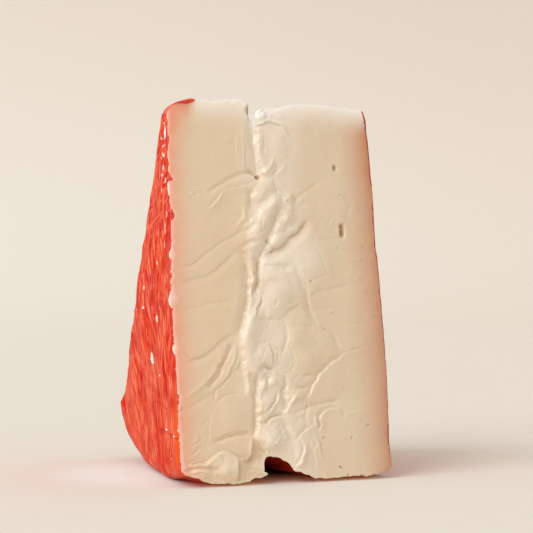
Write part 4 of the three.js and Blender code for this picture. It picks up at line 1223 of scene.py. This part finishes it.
def build_backdrop():
    """Floor that curves up into a wall well behind the wedge."""
    profile = [(FLOOR_NEAR, 0.0), (BEND_START, 0.0)]
    for i in range(1, BEND_STEPS + 1):
        turn = math.pi / 2 * i / BEND_STEPS
        back = BEND_START + BEND_RADIUS * math.sin(turn)
        profile.append((back, BEND_RADIUS * (1 - math.cos(turn))))
    profile.append((BEND_START + BEND_RADIUS, WALL_TOP))
    places = [(x, y, z) for y, z in profile for x in (-FLOOR_HALF_WIDTH, FLOOR_HALF_WIDTH)]
    faces = [(2 * i, 2 * i + 1, 2 * i + 3, 2 * i + 2) for i in range(len(profile) - 1)]
    mesh = bpy.data.meshes.new("backdrop")
    mesh.from_pydata(places, [], faces)
    mesh.polygons.foreach_set("use_smooth", [True] * len(faces))
    mesh.update()
    backdrop = bpy.data.objects.new("backdrop", mesh)
    bpy.context.collection.objects.link(backdrop)
    mesh.materials.append(backdrop_material())


def build_light():
    data = bpy.data.lights.new("soft_window", "SUN")
    data.energy = SUN_POWER
    data.angle = math.radians(SUN_SPREAD)
    data.color = (1.0, 0.985, 1.02)
    light = bpy.data.objects.new("soft_window", data)
    bpy.context.collection.objects.link(light)
    level = math.cos(math.radians(SUN_HEIGHT))
    towards = Vector((-SUN_FROM[0] * level, -SUN_FROM[1] * level, -math.sin(math.radians(SUN_HEIGHT))))
    light.rotation_euler = towards.to_track_quat("-Z", "Y").to_euler()
    world = bpy.data.worlds.new("soft_room")
    world.use_nodes = True
    background = world.node_tree.nodes["Background"]
    background.inputs["Color"].default_value = (1.0, 0.985, 0.92, 1)
    background.inputs["Strength"].default_value = ROOM_LIGHT
    bpy.context.scene.world = world


def build_camera():
    turn = math.radians(CAMERA_AZIMUTH)
    data = bpy.data.cameras.new("camera")
    data.sensor_width = SENSOR_WIDTH
    data.lens = FOCAL_PIXELS / IMAGE_PIXELS * SENSOR_WIDTH
    data.clip_start = 0.01
    camera = bpy.data.objects.new("camera", data)
    bpy.context.collection.objects.link(camera)
    x = -CAMERA_ASIDE * math.cos(turn) - CAMERA_DISTANCE * math.sin(turn)
    y = CAMERA_ASIDE * math.sin(turn) - CAMERA_DISTANCE * math.cos(turn)
    camera.location = (x * MM, (y - ORIGIN_Y) * MM, CAMERA_HEIGHT * MM)
    camera.rotation_euler = (math.pi / 2, 0, -turn)
    bpy.context.scene.camera = camera


def build_cheese():
    mesh = cheese_mesh()
    grain = grain_group()
    mesh.materials.append(paste_material(grain))
    mesh.materials.append(rind_material(grain))
    piece = bpy.data.objects.new("tomme_wedge", mesh)
    bpy.context.collection.objects.link(piece)
    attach(piece, "root")
    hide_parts("cheese")


build_camera()
build_backdrop()
build_light()
build_cheese()
bpy.context.scene.view_settings.view_transform = "Standard"
